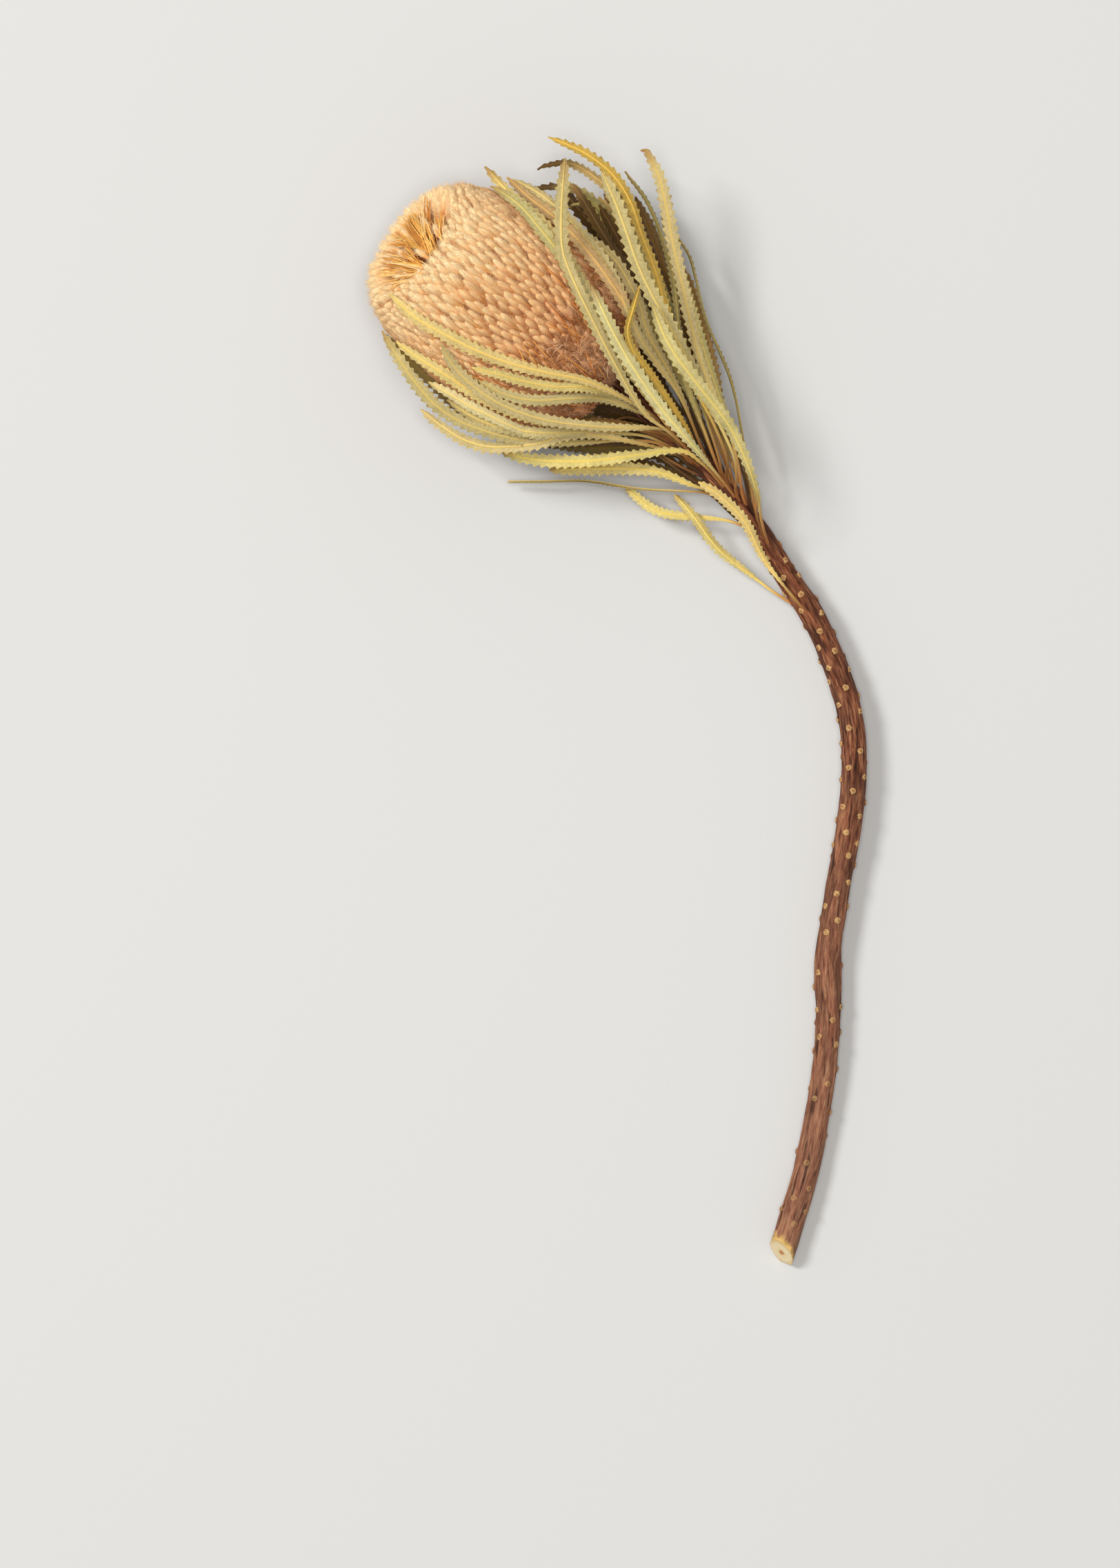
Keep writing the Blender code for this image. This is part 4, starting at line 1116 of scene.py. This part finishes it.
# Start meshes for the florets of crest, flanks, crown and base: a point at each root, with the way it points
def floretStarts(rows):
    draw = random.Random(florets["seed"])
    whole = rows[-1][4]
    rim = max(range(len(rows)), key=lambda j: rows[j][0])
    parts = {name: ([], {k: [] for k in ("aim", "outWay", "size", "tint", "stretch")})
             for name in ("crestFlorets", "flankFlorets", "crownFlorets", "baseFlorets")}
    k = 0
    for n in range(florets["count"]):
        want = whole * (n + 0.5) / florets["count"]
        while rows[k][4] < want:
            k += 1
        along, radius, dx, dy, _ = rows[k]
        turn = n * florets["turn"] + draw.uniform(-0.02, 0.02)
        point, out = onCone(along + draw.uniform(-0.6, 0.6), radius, turn + draw.uniform(-0.015, 0.015))
        normal = (out * dx - axis * dy).normalized()
        tangent = (axis * dx + out * dy).normalized()
        onWall = k > rim and radius < florets["wallRadius"]
        crown = k > rim or along > florets["crownFrom"]
        if k > rim and draw.random() > (florets["wallKept"] if onWall else florets["crownKept"]):
            continue
        lift = math.radians(readTable(florets["lift"], along) + draw.uniform(-4, 5))
        aim = tangent * math.cos(lift) + normal * math.sin(lift)
        opened = min(max((along - florets["openFrom"]) / florets["openOver"], 0), 1) if k <= rim else 1
        crestward = max(0, math.cos(turn))
        aim = aim.lerp(axis * (0.55 + 0.4 * crestward) + out * (0.8 - 0.85 * crestward), opened)
        length = readTable(florets["length"], along) * draw.uniform(0.85, 1.15)
        tip = point + tangent * cone["lean"] * (1 - opened) + axis * 1.6 * opened - normal * florets["sunk"]
        if k > rim:
            tip += out * 2.0 * (1 - crestward)
        if onWall:
            aim = out * 0.85 + axis * 0.45 + jitter(draw, 0.2)
            length *= 0.72
            tip = point + axis * draw.uniform(2.0, 3.4) + out * 2
        aim = (aim.normalized() + jitter(draw, readTable(florets["tousle"], along))).normalized()
        part = "crestFlorets" if math.cos(turn) > -0.1 else "flankFlorets"
        if crown or (along < florets["baseTo"] and part == "crestFlorets"):
            part = "crownFlorets" if crown else "baseFlorets"
        spots, marks = parts[part]
        spots.append(tip - aim * length)
        marks["aim"].append(aim)
        marks["outWay"].append(normal)
        marks["size"].append(length / 8 * mm)
        wide = readTable(florets["halfWidth"], along) * (0.75 if onWall else 1)
        marks["stretch"].append(draw.uniform(0.85, 1.15) * wide * mm)
        # painted shade, kept in the tint's third part: the flanks and underside, and sooner on the side by
        # the leaves; none in the crown
        under = min(max((0.62 if math.sin(turn) > 0 else 0.45) - 0.9 * math.cos(turn), 0), 1) * (1 - opened)
        marks["tint"].append((min(along / 95, 1), draw.random(), under, 1))
    spots, marks = parts["crownFlorets"]
    for root, tip in florets["stray"]:
        root, tip = (cone["base"] + axis * far + crest * at[0] + side * at[1]
                     for far, at in ((90.5, root), (94.5, tip)))
        spots.append(root)
        marks["aim"].append((tip - root).normalized())
        marks["outWay"].append(axis)
        marks["size"].append((tip - root).length / 8 * mm)
        marks["stretch"].append(1.25 * mm)
        marks["tint"].append((1, draw.random(), 0, 1))
    return {name: startMesh(name + "Start", spots, [], marks) for name, (spots, marks) in parts.items()}


# Stands a bent, tapering tuft on each point and roughens it
def buildFlorets():
    tree, given, end = newGrower("floretsOnPoints", {
        "Length": "Float", "Bend": "Float", "Roughness": "Float", "Grain": "Float", "Seed": "Int",
        "Material": "Material",
    })
    ball = addNode(tree, "GeometryNodeMeshUVSphere", None, {"Segments": 8, "Rings": 7, "Radius": 1.0})
    position = addNode(tree, "GeometryNodeInputPosition")
    parts = addNode(tree, "ShaderNodeSeparateXYZ", None, {0: position})
    # from a ball to a tuft: z runs 0 to length, slimmer at the root, its tip bent towards +y
    rise = mapTo(tree, parts.outputs[2], -1.0, 1.0)
    slim = mapTo(tree, rise, 0.0, 0.6, 0.45, 1.0)
    square = doMath(tree, "MULTIPLY", rise, rise)
    bent = doMath(tree, "MULTIPLY", square, given["Bend"])
    x = doMath(tree, "MULTIPLY", parts.outputs[0], slim)
    y = doMath(tree, "MULTIPLY_ADD", parts.outputs[1], slim, bent)
    z = doMath(tree, "MULTIPLY", rise, given["Length"])
    shaped = addNode(tree, "ShaderNodeCombineXYZ", None, {0: x, 1: y, 2: z})
    # fibre coordinates that run along the tuft
    low = doMath(tree, "MULTIPLY", rise, 0.35)
    fibre = addNode(tree, "ShaderNodeCombineXYZ", None,
                    {0: parts.outputs[0], 1: parts.outputs[1], 2: low})
    streaked = store(tree, ball.outputs[0], "fibre", fibre, "FLOAT_VECTOR")
    shares = store(tree, streaked, "share", rise)
    shared = addNode(tree, "GeometryNodeSetPosition", None, {"Geometry": shares, "Position": shaped})
    aim = named(tree, "aim", "FLOAT_VECTOR")
    outWay = named(tree, "outWay", "FLOAT_VECTOR")
    size = named(tree, "size")
    stretch = named(tree, "stretch")
    turned = addNode(tree, "FunctionNodeAxesToRotation", {"primary_axis": "Z", "secondary_axis": "Y"},
                     {"Primary Axis": aim, "Secondary Axis": outWay})
    scale = addNode(tree, "ShaderNodeCombineXYZ", None, {0: stretch, 1: stretch, 2: size})
    stood = addNode(tree, "GeometryNodeInstanceOnPoints", None,
                    {"Points": given["Geometry"], "Instance": shared, "Rotation": turned, "Scale": scale})
    whole = addNode(tree, "GeometryNodeRealizeInstances", None, {"Geometry": stood})
    rough = addNode(tree, "ShaderNodeTexNoise", {"noise_dimensions": "4D"},
                    {"Vector": position, "W": given["Seed"], "Scale": given["Grain"], "Detail": 1.0})
    centred = doVector(tree, "SUBTRACT", rough.outputs[1], (0.5, 0.5, 0.5))
    shifted = doVector(tree, "SCALE", centred, given["Roughness"])
    end(addNode(tree, "GeometryNodeSetPosition", None, {"Geometry": whole, "Offset": shifted}))
    return tree


# Scatters fine hairs over the outer side of the florets, leaning the way they point
def buildFuzz():
    tree, given, end = newGrower("fuzzOnFaces", {
        "Density": "Float", "Length": "Float", "Width": "Float", "Spread": "Float", "Seed": "Int",
        "Material": "Material",
    })
    aim = named(tree, "aim", "FLOAT_VECTOR")
    outWay = named(tree, "outWay", "FLOAT_VECTOR")
    share = named(tree, "share")
    facing = addNode(tree, "GeometryNodeInputNormal")
    outer = doVector(tree, "DOT_PRODUCT", facing, outWay)
    shown = doMath(tree, "GREATER_THAN", outer.outputs["Value"], -0.1)
    tipward = doMath(tree, "GREATER_THAN", share, 0.35)
    chosen = doMath(tree, "MULTIPLY", shown, tipward)
    spread = addNode(tree, "GeometryNodeDistributePointsOnFaces", None,
                     {"Mesh": given["Geometry"], "Selection": chosen, "Density": given["Density"],
                      "Seed": given["Seed"]})
    hair = addNode(tree, "GeometryNodeMeshCone", None,
                   {"Vertices": 3, "Radius Top": 0.0, "Radius Bottom": 1.0, "Depth": 1.0})
    stray = addNode(tree, "FunctionNodeRandomValue", {"data_type": "FLOAT_VECTOR"},
                    {0: (-1, -1, -1), 1: (1, 1, 1), "Seed": given["Seed"]})
    loose = doVector(tree, "SCALE", stray, given["Spread"])
    lean = doVector(tree, "ADD", aim, loose)
    off = doVector(tree, "SCALE", spread.outputs["Normal"], 0.5)
    lifted = doVector(tree, "ADD", lean, off)
    turned = addNode(tree, "FunctionNodeAlignRotationToVector", {"axis": "Z"}, {"Vector": lifted})
    much = addNode(tree, "FunctionNodeRandomValue", None, {0: 0.5, 1: 1.2, "Seed": given["Seed"]})
    length = doMath(tree, "MULTIPLY", much, given["Length"])
    scale = addNode(tree, "ShaderNodeCombineXYZ", None, {0: given["Width"], 1: given["Width"], 2: length})
    end(addNode(tree, "GeometryNodeInstanceOnPoints", None,
                {"Points": spread, "Instance": hair.outputs[0], "Rotation": turned, "Scale": scale}))
    return tree


# Dry felted florets: soft, with a pale sheen, apricot below and cream towards the crown, browner towards the
# root, partly their own colour and partly painted shade where the florets overlap
def feltMaterial(name, lift, pale):
    made, tree, shader = newMaterial(name)
    read = reads(tree, "tint", "share", "fibre")
    tint = addNode(tree, "ShaderNodeSeparateXYZ", None, {0: read["tint"].outputs["Vector"]})
    place = inObject(tree)
    blotch = noise(tree, place, 55.0, 3.0)
    apart = doMath(tree, "MULTIPLY", tint.outputs[1], 40.0)
    fine = addNode(tree, "ShaderNodeTexNoise", {"noise_dimensions": "4D"},
                   {"Vector": read["fibre"].outputs["Vector"], "W": apart, "Scale": 3.2, "Detail": 3.0})
    moved = doMath(tree, "MULTIPLY_ADD", blotch, 0.5, tint.outputs[0])
    jump = doMath(tree, "MULTIPLY_ADD", tint.outputs[1], 0.26, moved)
    along = doMath(tree, "SUBTRACT", jump, 0.38)
    tipColour = colours(tree, along, [(0.0, "D09666"), (0.25, "E8AE78"), (0.5, "F4C286"),
                                      (0.75, "F8D096"), (1.0, "FBDEAA")])
    rootColour = colours(tree, along, [(0.0, "96562E"), (0.4, "C07840"), (0.8, "DC9650"),
                                       (1.0, "E8A860")])
    # painted shade in part: browner towards the root, where the next florets cover it
    grown = mapTo(tree, read["share"], 0.35, 0.86, lift, 1.0)
    mixed = blend(tree, grown, rootColour, tipColour)
    grainy = mapTo(tree, fine, 0.35, 0.65, 0.78, 1.14)
    final = blend(tree, 1.0, mixed, grainy, "MULTIPLY")
    bump = addNode(tree, "ShaderNodeBump", None, {"Strength": 0.5, "Distance": 0.0003, "Height": fine})
    faded = blend(tree, pale, final, toLinear("FCEBD0"))
    # painted shade: darker and browner on the flanks and the underside, away from the crest, and sooner on
    # the side by the leaves
    shade = mapTo(tree, tint.outputs[2], 0.0, 1.0, 0.0, 0.85)
    shaded = blend(tree, shade, faded, toLinear("B48A70"), "MULTIPLY")
    setInputs(tree, shader, {
        "Base Color": shaded, "Normal": bump, "Roughness": 0.9, "Specular IOR Level": 0.15,
        "Sheen Weight": 0.2, "Sheen Roughness": 0.5, "Sheen Tint": toLinear("FFE9CC"),
    })
    return made


def makeFlorets():
    rows = coneRows()
    makeCore(rows)
    coat, cover = buildFlorets(), buildFuzz()
    felt, hair = feltMaterial("floretFelt", 0.0, 0.0), feltMaterial("floretHair", 0.75, 0.16)
    for part, start in floretStarts(rows).items():
        name = part.replace("Florets", "Fuzz")
        body = grow(part, start, coat, {**florets["tuft"], "Material": felt}, sharp=180)
        fuzz = grow(name, body.data.copy(), cover, {
            "Density": florets["hairDensity"][name], "Length": florets["hairLength"][name] * mm,
            "Width": florets["hairWidth"][name] / 2 * mm, "Spread": florets["hairSpread"][name],
            "Seed": florets["hairSeed"], "Material": hair,
        }, sharp=20)
        wear(body, "cone")
        wear(fuzz, "cone")
    print("florets made")


styles = {
    # bundles in the crown: (count, start, end), each place by its way to the crest and to the side
    "bundles": [
        (16, (11, -1), (-18.5, 1.5)), (18, (11, 0), (-18, 6.5)), (12, (6, 2), (-16.5, 8.5)),
        (16, (12, 0.5), (-8, 10)), (10, (-3, 8), (-13, 13.5)), (12, (16, 2), (1, 9.5)),
        (9, (17, 6), (7, 13)), (16, (16, -6), (-3, -4)), (18, (17, -6), (-6, -10.5)),
        (12, (0, -5), (-18, -9)), (20, (17, -7), (-12, -13)), (14, (14, -9), (-8, -16.5)),
        (16, (17, -8), (4, -15)), (16, (17, -10), (6, -18)), (12, (18, -11), (9, -18.5)),
        (12, (-4, 1), (-19, -3)), (10, (0, 5), (-12, 17)),
    ],
    "loose": 150,
    "radius": 0.24,
    "locks": 240,
    "hairsInLock": 11,
    "hairRadius": (0.09, 0.17),
    "seed": 21,
    "golden": ("F6BA54", "FBCC72", "ECA444", "FFDA94", "D88F38"),
    "orange": ("E08A38", "F0A850", "CC7430"),
    "brown": ("CE8C5A", "DEA878", "A4653A", "E8BC90", "BC7C48"),
}


# Dry wiry styles, smooth and a little waxy, golden to orange-brown; or dull pale hair
def styleMaterial(name, roughness, shine):
    made, tree, shader = newMaterial(name)
    tint = addNode(tree, "ShaderNodeAttribute", {"attribute_name": "tint"})
    place = inObject(tree)
    mottle = noise(tree, place, 300.0, 2.0)
    shade = mapTo(tree, mottle, 0.3, 0.7, 0.8, 1.12)
    mixed = blend(tree, 1.0, tint.outputs["Color"], shade, "MULTIPLY")
    setInputs(tree, shader, {
        "Base Color": mixed, "Roughness": roughness, "Specular IOR Level": shine,
    })
    return made


def makeStyles():
    draw = random.Random(styles["seed"])
    golden, orange, brown = ([toLinear(code) for code in styles[k]] for k in ("golden", "orange", "brown"))
    waxy, dull = styleMaterial("dryStyle", 0.5, 0.4), styleMaterial("baseHair", 0.9, 0.1)
    paths = []
    # in the crown: bundles that fan out from under the crest's florets over the hollow
    for count, near, far in styles["bundles"]:
        for _ in range(count):
            begin = (near[0] + draw.gauss(0, 0.7), near[1] + draw.gauss(0, 0.7))
            finish = (far[0] + draw.gauss(0, 1.5), far[1] + draw.gauss(0, 1.5))
            low, high, bow = draw.uniform(88.5, 91.5), draw.uniform(92.5, 95.5), draw.uniform(-0.4, 1.2)
            line = []
            for j in range(6):
                t = j / 5
                off = [a + (b - a) * t for a, b in zip(begin, finish)]
                along = low + (high - low) * t + bow * math.sin(math.pi * t)
                line.append(cone["base"] + axis * along + crest * off[0] + side * off[1])
            radii = [styles["radius"] * (1.15 - 0.4 * j / 5) for j in range(6)]
            paths.append((line, radii, draw.choice(golden)))
    # loose along the sides, mostly near the base
    for k in range(styles["loose"]):
        along = 2 + 46 * draw.random() ** 1.5
        turn = draw.uniform(0, 2 * math.pi)
        length, twist, bow = draw.uniform(9, 22), draw.uniform(-0.2, 0.2), draw.uniform(0.8, 2.4)
        line = []
        for j in range(7):
            t = j / 6
            at = along + length * t
            radius = readTable(coneSide, min(at, crownTop)) - 0.6 + bow * math.sin(math.pi * t)
            point, _ = onCone(at, radius, turn + twist * t)
            line.append(Vector((point.x, point.y, max(point.z, 0.3))))
        paths.append((line, [styles["radius"]] * 7, draw.choice(orange)))
    wear(grow("dryStyles", pathMesh("dryStyles", paths), sweep, {"Sides": 5, "Material": waxy}),
         "cone")

    # tangled felt at the base: locks of fine curling hairs
    paths = []
    for k in range(styles["locks"]):
        along, turn = 0.5 + 38 * draw.random() ** 1.1, draw.uniform(0, 2 * math.pi)
        way = axis * draw.uniform(-0.2, 1) + axis.cross(onCone(along, 1, turn)[1]) * draw.uniform(-1, 1)
        curl, bend, step = jitter(draw, 1).normalized(), draw.uniform(0.12, 0.6), draw.uniform(0.7, 1.3)
        colour, loose = draw.choice(brown), draw.uniform(0.9, 2.2)
        for _ in range(styles["hairsInLock"]):
            point, out = onCone(along, readTable(coneSide, along) + 0.1, turn)
            line = [point + jitter(draw, loose)]
            ahead = (way + out * 0.15 + jitter(draw, 0.3)).normalized()
            turnBy = bend * draw.uniform(0.7, 1.3)
            for j in range(7):
                ahead = (ahead + ahead.cross(curl) * turnBy).normalized()
                spot = line[-1] + ahead * step
                off, inside = outward(spot)
                spot += off * max(inside - cone["clearance"] + 0.3, 0)
                spot -= off * max(-inside - 0.6, 0)
                line.append(Vector((spot.x, spot.y, max(spot.z, 0.3))))
            thick = draw.uniform(*styles["hairRadius"])
            paths.append((line, [thick * (1 - 0.08 * j) for j in range(len(line))], colour))
    wear(grow("baseTangle", pathMesh("baseTangle", paths), sweep, {"Sides": 3, "Material": dull}),
         "cone")
    print("styles and base felt made")


makeView()
sweep = buildSweep()
makeStem()
makeLeaves()
makeFlorets()
makeStyles()
